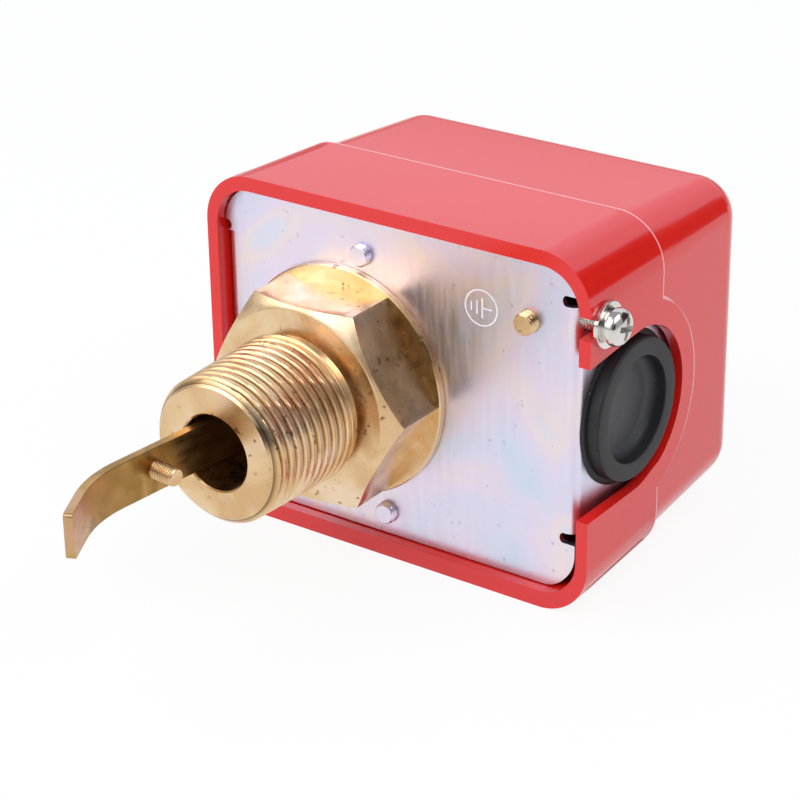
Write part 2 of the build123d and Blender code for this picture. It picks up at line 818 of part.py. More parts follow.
# --- snap-action switch -------------------------------------------------------------------------
with BuildPart() as switch_body:
    with BuildSketch(Plane.XY.offset(switch_bottom)):
        with Locations((switch_face + switch_height / 2, switch_middle_y)):
            RectangleRounded(switch_height, switch_length, switch_edge)
    extrude(amount=switch_thickness)
    # open bays for the three terminals, with barriers between them
    with BuildSketch(Plane.YZ.offset(terminal_floor)) as bays:
        with Locations((switch_middle_y, switch_middle)):
            with GridLocations(terminal_pitch, 1, terminal_count, 1):
                Rectangle(terminal_bay_width, 2 * switch_thickness)
    extrude(amount=terminal_bay_depth, mode=Mode.SUBTRACT)
    with BuildSketch(Plane.YZ.offset(terminal_floor)):
        with Locations((switch_middle_y, switch_middle)):
            with GridLocations(terminal_pitch, 1, terminal_count, 1):
                Circle(terminal_screw_radius + thread_gap)
    extrude(amount=-terminal_screw_length, mode=Mode.SUBTRACT)
    with BuildSketch(Plane.XY.offset(switch_bottom)):
        with Locations((switch_hole_x, switch_middle_y)):
            with GridLocations(1, switch_screw_spacing, 1, 2):
                Circle(switch_hole_radius)
    extrude(amount=switch_thickness, mode=Mode.SUBTRACT)
    # lugs that hold the leaf's pin
    lug_bottom = switch_middle - leaf_width / 2 - leaf_side_gap - leaf_lug_thickness
    lug_top = switch_middle + leaf_width / 2 + leaf_side_gap
    for low in (lug_bottom, lug_top):
        with BuildSketch(Plane.XY.offset(low)):
            with Locations((leaf_pivot_x, leaf_pivot_y)):
                Circle(leaf_lug_radius)
            with Locations(((leaf_pivot_x + switch_face) / 2, leaf_pivot_y)):
                Rectangle(switch_face - leaf_pivot_x, 2 * leaf_lug_radius)
        extrude(amount=leaf_lug_thickness)
    with BuildSketch(Plane.XY.offset(lug_bottom)):
        with Locations((leaf_pivot_x, leaf_pivot_y)):
            Circle(leaf_pin_radius + thread_gap)
    extrude(amount=lug_top + leaf_lug_thickness - lug_bottom, mode=Mode.SUBTRACT)
    with BuildSketch(Plane.YZ.offset(switch_face)):
        with Locations((plunger_y, switch_middle)):
            Circle(plunger_radius + running_gap)
    extrude(amount=plunger_inner_length + plunger_end_room, mode=Mode.SUBTRACT)

with BuildPart() as leaf_pin:
    with BuildSketch(Plane.XY.offset(lug_bottom - leaf_pin_overhang)):
        with Locations((leaf_pivot_x, leaf_pivot_y)):
            Circle(leaf_pin_radius)
    extrude(amount=lug_top + leaf_lug_thickness - lug_bottom + 2 * leaf_pin_overhang)

with BuildPart() as switch_leaf:
    with BuildSketch(Plane.XY.offset(switch_middle - leaf_width / 2)):
        with Locations((leaf_pivot_x, leaf_pivot_y)):
            Circle(leaf_eye_radius)
        with Locations((leaf_front + leaf_thickness / 2, leaf_pivot_y + leaf_reach / 2)):
            Rectangle(leaf_thickness, leaf_reach)
        with Locations((leaf_pivot_x, leaf_pivot_y)):
            Circle(leaf_pin_radius + running_gap, mode=Mode.SUBTRACT)
    extrude(amount=leaf_width)

with BuildPart() as switch_plunger:
    plunger_tip = leaf_front + leaf_thickness + running_gap
    with BuildSketch(Plane.YZ.offset(plunger_tip)):
        with Locations((plunger_y, switch_middle)):
            Circle(plunger_radius)
    extrude(amount=switch_face - plunger_tip + plunger_inner_length)
    fillet(switch_plunger.faces().sort_by(Axis.X)[0].edges(), plunger_tip_fillet)

with BuildPart() as switch_screws:
    for y in (-switch_screw_spacing / 2, switch_screw_spacing / 2):
        seat = Plane(origin=(switch_hole_x, switch_middle_y + y, switch_bottom), z_dir=(0, 0, -1))
        reach = switch_thickness + sheet + nut_height + switch_screw_proud
        add(headed_screw(seat, switch_screw_radius, reach, pan_radius, pan_height, switch_screw_edge))

with BuildPart() as switch_nuts:
    with BuildSketch(Plane.XY.offset(cheek_outer)):
        with Locations((switch_hole_x, switch_middle_y)):
            with GridLocations(1, switch_screw_spacing, 1, 2):
                RegularPolygon(radius=nut_width / 2, side_count=6, major_radius=False)
                Circle(switch_screw_radius + thread_gap, mode=Mode.SUBTRACT)
    extrude(amount=nut_height)

with BuildPart() as terminal_plates:
    with BuildSketch(Plane.YZ.offset(terminal_floor)):
        with Locations((switch_middle_y, switch_middle)):
            with GridLocations(terminal_pitch, 1, terminal_count, 1):
                Rectangle(
                    terminal_bay_width - 2 * terminal_plate_gap, switch_thickness - 2 * terminal_plate_margin
                )
                Circle(terminal_screw_radius + thread_gap, mode=Mode.SUBTRACT)
    extrude(amount=terminal_plate_thickness)

with BuildPart() as terminal_clamps:
    clamp_face = terminal_floor + terminal_plate_thickness
    with BuildSketch(Plane.YZ.offset(clamp_face)):
        with Locations((switch_middle_y, switch_middle)):
            with GridLocations(terminal_pitch, 1, terminal_count, 1):
                RectangleRounded(terminal_clamp_size, terminal_clamp_size, terminal_clamp_corner)
                Circle(terminal_screw_radius + thread_gap, mode=Mode.SUBTRACT)
    extrude(amount=terminal_clamp_thickness)

with BuildPart() as terminal_screws:
    for place in range(terminal_count):
        y = switch_middle_y + (place - (terminal_count - 1) / 2) * terminal_pitch
        seat = Plane(origin=(clamp_face + terminal_clamp_thickness, y, switch_middle), z_dir=(1, 0, 0))
        add(headed_screw(
            seat, terminal_screw_radius, terminal_screw_length, terminal_head_radius, terminal_head_height,
            terminal_screw_edge,
        ))


# --- range screw, its square seat and the spring --------------------------------------------------
range_axis = Axis((0, range_y, range_axis_height), (1, 0, 0))
with BuildPart() as range_screw:
    seat = Plane(origin=(tab_outer, range_y, range_axis_height), z_dir=(-1, 0, 0))
    add(headed_screw(
        seat, m4_radius, range_screw_length + sheet, range_head_radius, range_head_height, range_screw_edge
    ))
    with BuildSketch(seat.offset(range_head_height)):
        Rectangle(range_head_slot, 3 * range_head_radius)
    extrude(amount=-range_head_slot, mode=Mode.SUBTRACT)
    with BuildSketch(Plane.YZ.offset(tab_inner + range_clip_play)):
        with Locations((range_y, range_axis_height)):
            Circle(clip_radius)
            Circle(m4_radius - clip_groove_depth, mode=Mode.SUBTRACT)
    extrude(amount=clip_thickness, mode=Mode.SUBTRACT)

with BuildPart() as range_clip:
    with BuildSketch(Plane.YZ.offset(tab_inner + range_clip_play)):
        with Locations((range_y, range_axis_height)):
            Circle(clip_radius)
            Circle(m4_radius - clip_groove_depth + thread_gap, mode=Mode.SUBTRACT)
        with Locations((range_y + clip_radius, range_axis_height)):
            Rectangle(2 * clip_radius, 2 * groove, mode=Mode.SUBTRACT)
    extrude(amount=clip_thickness)

seat_back = tab_inner + seat_from_tab
seat_face = seat_back + seat_thickness
with BuildPart() as spring_seat:
    with BuildSketch(Plane.YZ.offset(seat_back)):
        with Locations((range_y, range_axis_height)):
            RectangleRounded(seat_size, seat_size, seat_corner)
            Circle(m4_radius + running_gap, mode=Mode.SUBTRACT)
    extrude(amount=seat_thickness)

tongue_point = arm_plane.from_local_coords((strip_thickness / 2, range_axis_depth - pivot_depth, 0))
tongue_slope = spring_radius * tan(radians(arm_tilt))
spring_start = seat_face + spring_end_gap
spring_end = tongue_point.X - tongue_slope - spring_end_gap - spring_wire / 4
with BuildPart() as range_spring:
    with BuildLine():
        coil_length = spring_end - spring_start - spring_wire
        coil = Helix(
            pitch=coil_length / spring_turns,
            height=coil_length,
            radius=spring_radius,
            center=(spring_start + spring_wire / 2, range_y, range_axis_height),
            direction=(1, 0, 0),
        )
    with BuildSketch(Plane(origin=coil @ 0, z_dir=coil % 0)):
        Circle(spring_wire / 2)
    sweep(is_frenet=True)


# --- earth screw --------------------------------------------------------------------------------
with BuildPart() as earth_clamp:
    with BuildSketch(facing_back(plate_back)):
        with Locations((-earth_place[0], earth_place[1])):
            RectangleRounded(earth_clamp_size, earth_clamp_size, earth_clamp_corner)
            Circle(m5_radius + thread_gap, mode=Mode.SUBTRACT)
    extrude(amount=earth_clamp_thickness)

with BuildPart() as earth_screw:
    seat_y = plate_back + earth_clamp_thickness
    seat = Plane(origin=(earth_place[0], seat_y, earth_place[1]), z_dir=(0, 1, 0))
    reach = seat_y - plate_front + earth_tip
    add(headed_screw(seat, m5_radius, reach, earth_head_radius, earth_head_height, earth_screw_edge))


# --- cable grommet ------------------------------------------------------------------------------
with BuildPart() as conduit_grommet:
    with BuildSketch(Plane.XY.offset(entry_height)):
        with BuildLine():
            face = plate_right + grommet_proud
            inner_face = plate_right - sheet - grommet_inner_thickness
            dish_floor = face - dish_depth
            neck = grommet_hole_radius - grommet_neck_gap
            profile = (
                (dish_floor, 0),
                (dish_floor, dish_radius - dish_corner),
                (dish_floor + dish_corner, dish_radius),
                (face, dish_radius),
                (face, grommet_radius - grommet_edge),
                (face - grommet_edge_depth, grommet_radius),
                (plate_right + grommet_root_edge, grommet_radius),
                (plate_right, grommet_radius - grommet_root_edge),
                (plate_right, neck),
                (plate_right - sheet, neck),
                (plate_right - sheet, grommet_inner_radius),
                (inner_face, grommet_inner_radius - grommet_inner_edge),
                (inner_face, dish_radius),
                (dish_floor - dish_wall, dish_radius - dish_corner),
                (dish_floor - dish_wall, 0),
            )
            Polyline(*[(x, entry_y + r) for x, r in profile], close=True)
        make_face()
    revolve(axis=Axis((0, entry_y, entry_height), (1, 0, 0)))


# --- cover --------------------------------------------------------------------------------------
step_y = rim_front + skirt_length
skirt_inset = skirt_length * tan(radians(skirt_draft))
rear_inset = skirt_inset + step_inset
rear_room_inset = rear_inset + side_wall
pad_radius = entry_radius + entry_pad
pad_depth = step_inset + rear_room_inset
opening_middle_x = (opening_left + opening_right) / 2
opening_middle_z = (opening_bottom + opening_top) / 2
rib_start = plate_back + rib_play
rib_end = cover_back - 2 * rear_wall

with BuildPart() as cover_room:
    # room for the plate and its flanges
    with BuildSketch(facing_back(rim_front)):
        with Locations((-opening_middle_x, opening_middle_z)):
            RectangleRounded(opening_right - opening_left, opening_top - opening_bottom, opening_corner)
    extrude(amount=skirt_length - step_lead, taper=skirt_inner_draft)
    with BuildSketch(Plane.YZ.offset(opening_right - plate_gap / 3)):
        with Locations((entry_y, entry_height)):
            Circle(pad_radius - side_wall)
        with Locations((rim_front - pad_radius, entry_height)):
            Rectangle(2 * pad_radius, 2 * pad_radius, mode=Mode.SUBTRACT)
    extrude(amount=-pad_depth)
    # room for the mechanism
    with BuildSketch(facing_back(step_y - step_lead)):
        with Locations((-cover_middle_x, cover_middle_z)):
            room_width = cover_width - 2 * rear_room_inset
            room_height = cover_height - 2 * rear_room_inset
            RectangleRounded(room_width, room_height, cover_corner - side_wall)
    extrude(amount=cover_back - rear_wall - step_y + step_lead, taper=rear_draft)
    # ribs left standing, which stop against the back of the plate
    for x in rib_places:
        for wall, inward in ((opening_top, -1), (opening_bottom, 1)):
            with BuildSketch(Plane.YZ.offset(x - rib_thickness / 2)):
                with BuildLine():
                    rib_run = rib_end - rib_start
                    Polyline(
                        (rib_start, wall + inward * rib_height),
                        (rib_end, wall + inward * (rib_height + rib_run * tan(radians(rear_draft)))),
                        (rib_end, wall - inward * cover_corner),
                        (rib_start, wall - inward * cover_corner),
                        close=True,
                    )
                make_face()
            extrude(amount=rib_thickness, mode=Mode.SUBTRACT)

with BuildPart() as cover:
    # skirt round the base plate
    with BuildSketch(facing_back(rim_front)):
        with Locations((-cover_middle_x, cover_middle_z)):
            RectangleRounded(cover_width, cover_height, cover_corner)
    extrude(amount=skirt_length, taper=skirt_draft)
    # the skirt's right side runs on round the cable entry as a raised pad
    with BuildSketch(Plane.YZ.offset(cover_right - skirt_inset)):
        with Locations((entry_y, entry_height)):
            Circle(pad_radius)
        with Locations((rim_front - pad_radius, entry_height)):
            Rectangle(2 * pad_radius, 2 * pad_radius, mode=Mode.SUBTRACT)
    extrude(amount=-pad_depth)
    # rear shell
    with BuildSketch(facing_back(step_y - step_lead)):
        with Locations((-cover_middle_x, cover_middle_z)):
            RectangleRounded(
                cover_width - 2 * rear_inset, cover_height - 2 * rear_inset, cover_corner - rear_inset / 2
            )
    extrude(amount=cover_back - step_y + step_lead, taper=rear_draft)
    fillet(cover.faces().sort_by(Axis.Y)[-1].edges(), rear_edge_fillet)
    add(cover_room.part, mode=Mode.SUBTRACT)
    # cable entry, whose mouth narrows a little to the rim
    with BuildSketch(Plane.YZ.offset(opening_right - pad_depth)):
        with BuildLine():
            mouth = entry_radius - entry_mouth_inset
            mouth_sides = Polyline(
                (entry_y, entry_height + entry_radius),
                (rim_front, entry_height + mouth),
                (rim_front, entry_height - mouth),
                (entry_y, entry_height - entry_radius),
            )
            ThreePointArc(mouth_sides @ 1, (entry_y + entry_radius, entry_height), mouth_sides @ 0)
        make_face()
    extrude(amount=pad_depth + 2 * side_wall, mode=Mode.SUBTRACT)
    # slot for the screw, open to the rim
    with BuildSketch(Plane.YZ.offset(opening_right - side_wall)):
        with Locations((cover_screw_y, screw_height + slot_above_screw)):
            Circle(slot_height / 2)
        with Locations(((rim_front + cover_screw_y) / 2, screw_height + slot_above_screw)):
            Rectangle(cover_screw_y - rim_front, slot_height)
    extrude(amount=3 * side_wall, mode=Mode.SUBTRACT)


# --- cover screw with its washers -----------------------------------------------------------------
with BuildPart() as flat_washer:
    seat = Plane(origin=(cover_right, cover_screw_y, screw_height), z_dir=(1, 0, 0))
    add(washer(seat, m4_radius + washer_hole_gap, flat_washer_radius, flat_washer_thickness))

with BuildPart() as spring_washer:
    seat = seat.offset(flat_washer_thickness)
    add(washer(seat, m4_radius + washer_hole_gap, spring_washer_radius, spring_washer_thickness))

with BuildPart() as cover_screw:
    seat = seat.offset(spring_washer_thickness)
    add(headed_screw(seat, m4_radius, cover_screw_length, pan_radius, pan_height, cover_screw_edge))


# --- write one file for each piece ----------------------------------------------------------------
pieces = {
    "base_plate": base_plate,
    "pipe_fitting": pipe_fitting,
    "fitting_lock_ring": fitting_lock_ring,
    "bellows": bellows,
    "bellows_ring": bellows_ring,
    "bellows_cap": bellows_cap,
    "paddle_arm": paddle_arm,
    "paddle_stud": paddle_stud,
    "arm_rivets": arm_rivets,
    "rocker": rocker,
    "actuator_button": actuator_button,
    "mechanism_bracket": mechanism_bracket,
    "bracket_washers": bracket_washers,
    "bracket_screws": bracket_screws,
    "pivot_pins": pivot_pins,
    "pivot_washers": pivot_washers,
    "pivot_clips": pivot_clips,
    "switch_body": switch_body,
    "leaf_pin": leaf_pin,
    "switch_leaf": switch_leaf,
    "switch_plunger": switch_plunger,
    "switch_screws": switch_screws,
    "switch_nuts": switch_nuts,
    "terminal_plates": terminal_plates,
    "terminal_clamps": terminal_clamps,
    "terminal_screws": terminal_screws,
    "range_screw": range_screw,
    "range_clip": range_clip,
    "spring_seat": spring_seat,
    "range_spring": range_spring,
    "earth_clamp": earth_clamp,
    "earth_screw": earth_screw,
    "conduit_grommet": conduit_grommet,
    "cover": cover,
    "cover_screw": cover_screw,
    "spring_washer": spring_washer,
    "flat_washer": flat_washer,
}

os.makedirs("parts", exist_ok=True)
for name, piece in pieces.items():
    piece.part.label = name
    export_step(piece.part, f"parts/{name}.step")
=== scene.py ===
import json
import math

import bmesh
import bpy
from mathutils import Matrix, Vector


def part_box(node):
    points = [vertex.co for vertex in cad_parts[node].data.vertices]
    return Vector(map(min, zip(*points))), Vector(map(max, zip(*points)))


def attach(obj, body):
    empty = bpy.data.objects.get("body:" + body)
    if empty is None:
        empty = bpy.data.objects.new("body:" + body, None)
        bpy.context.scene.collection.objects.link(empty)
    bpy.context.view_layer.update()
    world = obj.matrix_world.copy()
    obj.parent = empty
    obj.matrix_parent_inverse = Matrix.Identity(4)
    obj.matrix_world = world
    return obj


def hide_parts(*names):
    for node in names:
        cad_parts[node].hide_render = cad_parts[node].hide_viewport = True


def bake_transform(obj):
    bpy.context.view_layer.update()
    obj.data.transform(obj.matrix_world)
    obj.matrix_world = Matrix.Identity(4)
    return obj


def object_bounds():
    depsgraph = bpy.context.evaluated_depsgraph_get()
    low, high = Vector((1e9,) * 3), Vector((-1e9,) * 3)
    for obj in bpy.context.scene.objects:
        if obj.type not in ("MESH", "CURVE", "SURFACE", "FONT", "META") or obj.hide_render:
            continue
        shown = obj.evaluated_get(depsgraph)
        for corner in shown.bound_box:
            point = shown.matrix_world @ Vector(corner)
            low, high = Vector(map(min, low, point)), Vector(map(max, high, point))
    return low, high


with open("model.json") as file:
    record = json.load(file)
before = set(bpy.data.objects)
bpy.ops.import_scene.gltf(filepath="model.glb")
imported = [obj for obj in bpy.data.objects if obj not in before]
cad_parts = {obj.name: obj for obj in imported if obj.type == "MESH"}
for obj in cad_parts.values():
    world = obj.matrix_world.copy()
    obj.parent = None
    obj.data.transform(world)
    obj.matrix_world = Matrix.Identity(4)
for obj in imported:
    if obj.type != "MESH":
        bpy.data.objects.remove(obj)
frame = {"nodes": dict(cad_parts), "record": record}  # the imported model: its nodes keep their place, this script gives them their finish
cadBox = [list(corner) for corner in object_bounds()]
mm = 0.001


def mountNamed(name):
    return [row for row in frame["record"]["mounts"] if row["name"] == name][0]


def linear(hexColour):
    parts = [int(hexColour[i:i + 2], 16) / 255 for i in (1, 3, 5)]
    return [p / 12.92 if p <= 0.04045 else ((p + 0.055) / 1.055) ** 2.4 for p in parts] + [1]


def addNode(tree, kind, inputs=None, **settings):
    # a node with its settings; an input is a fixed value or the socket that feeds it
    node = tree.nodes.new(kind)
    for name, value in settings.items():
        setattr(node, name, value)
    for key, value in (inputs or {}).items():
        if isinstance(value, bpy.types.NodeSocket):
            tree.links.new(value, node.inputs[key])
        else:
            node.inputs[key].default_value = value
    return node


def ramp(tree, factor, stops):
    # stops are (position, colour) pairs, a colour being a hex string or a grey value
    node = addNode(tree, "ShaderNodeValToRGB", {0: factor})
    while len(node.color_ramp.elements) < len(stops):
        node.color_ramp.elements.new(0.5)
    for element, (position, colour) in zip(node.color_ramp.elements, stops):
        element.position = position
        element.color = linear(colour) if isinstance(colour, str) else (colour, colour, colour, 1)
    return node.outputs[0]


def newFinish(name, **sockets):
    material = bpy.data.materials.new(name)
    material.use_nodes = True
    tree = material.node_tree
    shader = tree.nodes["Principled BSDF"]
    for key, value in sockets.items():
        shader.inputs[key].default_value = value
    where = addNode(tree, "ShaderNodeTexCoord").outputs["Object"]
    return material, tree, shader, where


def noise(tree, where, size, detail=3, distortion=0.0):
    # soft patches about this many metres across
    patchesPerCell = 0.6
    return addNode(tree, "ShaderNodeTexNoise", {
        "Vector": where, "Scale": patchesPerCell / size, "Detail": detail, "Distortion": distortion,
    }).outputs["Fac"]


def stretched(tree, where, factors, location=(0, 0, 0)):
    return addNode(tree, "ShaderNodeMapping", {
        "Vector": where, "Scale": factors, "Location": location,
    }).outputs[0]


def mixColour(tree, factor, first, second):
    node = addNode(tree, "ShaderNodeMix", data_type="RGBA")
    for key, value in ((0, factor), (6, first), (7, second)):
        if isinstance(value, bpy.types.NodeSocket):
            tree.links.new(value, node.inputs[key])
        else:
            node.inputs[key].default_value = linear(value) if isinstance(value, str) else value
    return node.outputs[2]


def maths(tree, operation, first, second=0.0, clamp=False):
    node = addNode(tree, "ShaderNodeMath", {0: first, 1: second}, operation=operation, use_clamp=clamp)
    return node.outputs[0]


def distance(tree, first, second, centre=(0.0, 0.0)):
    # how far a point is from a centre, by two of its coordinates
    squares = [maths(tree, "POWER", maths(tree, "SUBTRACT", part, middle), 2.0)
               for part, middle in zip((first, second), centre)]
    return maths(tree, "SQRT", maths(tree, "ADD", *squares))


def feed(tree, shader, colour, roughness=None):
    tree.links.new(colour, shader.inputs["Base Color"])
    if roughness:
        tree.links.new(roughness, shader.inputs["Roughness"])


def bump(tree, shader, height, depth, strength):
    node = addNode(tree, "ShaderNodeBump", {"Height": height, "Distance": depth, "Strength": strength})
    tree.links.new(node.outputs[0], shader.inputs["Normal"])


# the R 1 thread: 11 to the inch, on a taper of 1 in 16 across
pipeThread = {
    "gaugeRadius": 16.62 * mm, "taper": 1 / 32, "pitch": 25.4 / 11 * mm, "depth": 1.2 * mm, "groove": 0.56,
    "end": 11.7 * mm,
}
# painted shade in the pipe thread's roots: its colour, how strong, how far behind the nose it starts, and the
# radius inside which it stops
rootShade = {"colour": "#6A4820", "strength": 0.75, "fromNose": 0.5 * mm, "innermost": 13.9 * mm}


def machinedBrass():
    # turned and milled leaded brass: pale gold, with fine tool marks, brown specks and a few stains
    material, tree, shader, where = newFinish("machinedBrass", Metallic=1.0)
    blotch = noise(tree, where, 9 * mm, 4, 0.6)
    base = ramp(tree, blotch, [(0.36, "#D8B283"), (0.52, "#E7C89C"), (0.66, "#F0D6B8")])
    specks = noise(tree, where, 1.2 * mm, 2)
    speckMask = ramp(tree, specks, [(0.65, 0), (0.70, 1)])
    patches = ramp(tree, noise(tree, where, 12 * mm, 2), [(0.44, 0), (0.58, 1)])
    dirt = maths(tree, "MULTIPLY", speckMask, patches)
    colour = mixColour(tree, maths(tree, "MULTIPLY", dirt, 0.75), base, "#7A5226")
    # painted shade darkens the roots of the pipe thread, from just behind the nose to the thread's end
    apart = addNode(tree, "ShaderNodeSeparateXYZ", {0: where}).outputs
    along, radius = apart[1], distance(tree, apart[0], apart[2])
    crest = maths(tree, "ADD", maths(tree, "MULTIPLY", along, pipeThread["taper"]), pipeThread["gaugeRadius"])
    below = maths(tree, "DIVIDE", maths(tree, "SUBTRACT", crest, radius), pipeThread["depth"])
    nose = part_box("pipe_fitting")[0].y
    onThread = maths(tree, "MULTIPLY", maths(tree, "GREATER_THAN", along, nose + rootShade["fromNose"]), maths(
        tree, "MULTIPLY", maths(tree, "LESS_THAN", along, pipeThread["end"]),
        maths(tree, "GREATER_THAN", radius, rootShade["innermost"])))
    rootShadeMask = maths(tree, "MULTIPLY", ramp(tree, below, [(0.35, 0), (0.85, 1)]), onThread)
    colour = mixColour(tree, maths(tree, "MULTIPLY", rootShadeMask, rootShade["strength"]), colour, rootShade["colour"])
    # turning marks run round the pipe axis
    marksApart = 0.35 * mm
    lathe = addNode(tree, "ShaderNodeCombineXYZ", {0: radius, 1: along}).outputs[0]
    marks = addNode(tree, "ShaderNodeTexNoise", {
        "Vector": stretched(tree, lathe, (1 / marksApart, 1 / marksApart, 1)), "Scale": 1.0, "Detail": 2.0,
    }).outputs["Fac"]
    grain = noise(tree, where, 2.5 * mm, 5)
    feed(tree, shader, colour, ramp(tree, grain, [(0.3, 0.20), (0.7, 0.36)]))
    relief = maths(tree, "SUBTRACT", maths(tree, "MULTIPLY", marks, 0.6), dirt)
    bump(tree, shader, relief, 0.03 * mm, 0.5)
    return material


def passivatedZinc():
    # zinc plated sheet with a clear chromate: silvery, with faint pink, yellow and blue clouds
    material, tree, shader, where = newFinish("passivatedZinc", Metallic=1.0)
    clouds = noise(tree, where, 26 * mm, 3, 1.2)
    tint = ramp(tree, clouds, [
        (0.30, "#D6E0F4"), (0.42, "#E2E0F4"), (0.50, "#EADFF2"), (0.58, "#F0E3E6"), (0.66, "#E4E4F2"),
        (0.75, "#D8E2F6"),
    ])
    elsewhere = stretched(tree, where, (1, 1, 0.55), (0.07, 0.02, 0.05))
    yellow = ramp(tree, noise(tree, elsewhere, 20 * mm, 2, 0.8), [(0.60, 0), (0.76, 1)])
    colour = mixColour(tree, maths(tree, "MULTIPLY", yellow, 0.5), tint, "#F3E4CC")
    spots = ramp(tree, noise(tree, where, 1.3 * mm, 2), [(0.69, 0), (0.74, 1)])
    colour = mixColour(tree, maths(tree, "MULTIPLY", spots, 0.30), colour, "#7F8BA6")
    rolled = noise(tree, stretched(tree, where, (1, 1, 0.12)), 0.9 * mm, 4)
    feed(tree, shader, colour, ramp(tree, rolled, [(0.3, 0.30), (0.7, 0.42)]))
    bump(tree, shader, rolled, 0.02 * mm, 0.25)
    return material


# the cover's step, and the colour and strength of the painted highlight along its edge
coverStep = {
    "skirtLength": 30.8 * mm, "padRadius": 24.3 * mm, "padFrom": 40 * mm, "line": "#F9BCC0", "strength": 0.9,
}


def mouldedRedPlastic():
    # glossy red ABS: even colour, slight flow waviness, and hairline scratches from handling
    material, tree, shader, where = newFinish("mouldedRedPlastic", Roughness=0.15, IOR=1.6)
    shader.inputs["Specular Tint"].default_value = linear("#E9F1FF")
    shade = ramp(tree, noise(tree, where, 45 * mm, 2), [(0.35, "#DC1F18"), (0.65, "#E2241C")])
    # a painted highlight runs pale along the edge of the step behind the skirt and round the entry pad
    apart = addNode(tree, "ShaderNodeSeparateXYZ", {0: where}).outputs
    fromEntry = distance(tree, apart[1], apart[2], mountNamed("cable_entry")["pos_m"][1:])
    padHere = maths(tree, "GREATER_THAN", apart[0], coverStep["padFrom"])
    inPad = maths(tree, "SUBTRACT", maths(tree, "MULTIPLY", padHere, coverStep["padRadius"]), fromEntry)
    beforeStep = maths(tree, "SUBTRACT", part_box("cover")[0].y + coverStep["skirtLength"], apart[1])
    off = maths(tree, "ABSOLUTE", maths(tree, "MAXIMUM", beforeStep, inPad))
    stepHighlight = ramp(tree, maths(tree, "DIVIDE", off, 1 * mm), [(0.22, 1), (0.48, 0)])
    colour = mixColour(tree, maths(tree, "MULTIPLY", stepHighlight, coverStep["strength"]), shade, coverStep["line"])
    feed(tree, shader, colour)
    long = noise(tree, stretched(tree, where, (0.10, 1.4, 1.0)), 1.1 * mm, 2, 0.4)
    across = noise(tree, stretched(tree, where, (1.3, 0.12, 1.0), (0.3, 0.1, 0.2)), 1.4 * mm, 2, 0.4)
    scratches = maths(tree, "MAXIMUM", ramp(tree, long, [(0.72, 0), (0.76, 1)]),
                      ramp(tree, across, [(0.73, 0), (0.77, 1)]))
    sparse = ramp(tree, noise(tree, where, 15 * mm, 2), [(0.55, 0), (0.65, 1)])
    lines = maths(tree, "MULTIPLY", scratches, sparse)
    wave = noise(tree, where, 12 * mm, 1)
    height = maths(tree, "SUBTRACT", maths(tree, "MULTIPLY", wave, 1.2), maths(tree, "MULTIPLY", lines, 0.5))
    bump(tree, shader, height, 0.05 * mm, 0.25)
    return material


def blackRubber():
    # moulded nitrile rubber: nearly black with a soft grey sheen and a little dust
    material, tree, shader, where = newFinish("blackRubber", Roughness=0.52, IOR=1.45)
    shade = ramp(tree, noise(tree, where, 7 * mm, 3), [(0.35, "#1B1B1D"), (0.65, "#262629")])
    dust = ramp(tree, noise(tree, where, 0.7 * mm, 2), [(0.73, 0), (0.78, 1)])
    # the dish is painted lighter: partly the grey dust settled there, partly painted light against the shade
    # inside it
    apart = addNode(tree, "ShaderNodeSeparateXYZ", {0: where}).outputs
    fromEntry = distance(tree, apart[1], apart[2], mountNamed("cable_entry")["pos_m"][1:])
    dishDustAndLight = ramp(tree, maths(tree, "DIVIDE", fromEntry, 20 * mm), [(0.53, 1), (0.59, 0)])
    shade = mixColour(tree, maths(tree, "MULTIPLY", dishDustAndLight, 0.8), shade, "#545458")
    colour = mixColour(tree, maths(tree, "MULTIPLY", dust, 0.35), shade, "#8A8A8C")
    feed(tree, shader, colour)
    skin = noise(tree, where, 0.5 * mm, 3)
    bump(tree, shader, skin, 0.03 * mm, 0.35)
    return material


def tarnishedBronze():
    # rolled phosphor bronze strip, heat tinted: brown gold with pink and red patches and grey spots
    material, tree, shader, where = newFinish("tarnishedBronze", Metallic=1.0)
    clouds = noise(tree, where, 10 * mm, 3, 0.7)
    tint = ramp(tree, clouds, [
        (0.34, "#A07C45"), (0.46, "#BF995E"), (0.54, "#C9A474"), (0.64, "#D2A587"), (0.74, "#C48C7E"),
    ])
    spots = ramp(tree, noise(tree, where, 4 * mm, 1), [(0.66, 0), (0.72, 1)])
    colour = mixColour(tree, maths(tree, "MULTIPLY", spots, 0.5), tint, "#7D7568")
    rolled = noise(tree, stretched(tree, where, (1, 0.15, 1)), 0.8 * mm, 3)
    feed(tree, shader, colour, ramp(tree, rolled, [(0.3, 0.26), (0.7, 0.40)]))
    bump(tree, shader, rolled, 0.02 * mm, 0.3)
    return material


def drawnBronze():
    # thin bronze tube drawn into folds: warm, with a soft polish
    material, tree, shader, where = newFinish("drawnBronze", Metallic=1.0)
    colour = ramp(tree, noise(tree, where, 5 * mm, 3), [(0.35, "#C08A58"), (0.65, "#D3A374")])
    grain = noise(tree, where, 1 * mm, 3)
    feed(tree, shader, colour, ramp(tree, grain, [(0.3, 0.26), (0.7, 0.38)]))
    return material


def nickelPlate():
    # bright nickel on steel: silvery with a warm cast, mirror like, with light handling marks
    material, tree, shader, where = newFinish("nickelPlate", Metallic=1.0)
    colour = ramp(tree, noise(tree, where, 4 * mm, 3), [(0.35, "#CFCBC5"), (0.65, "#E2DFDA")])
    marks = noise(tree, where, 0.8 * mm, 4)
    feed(tree, shader, colour, ramp(tree, marks, [(0.35, 0.12), (0.7, 0.26)]))
    bump(tree, shader, marks, 0.01 * mm, 0.2)
    return material


def paleMark():
    # a mark burnt into the plating: thin, matt and nearly white
    material, tree, shader, where = newFinish("paleMark", Roughness=0.6)
    feed(tree, shader, ramp(tree, noise(tree, where, 1.2 * mm, 2), [(0.35, "#E6E4EA"), (0.65, "#FAF9FC")]))
    return material


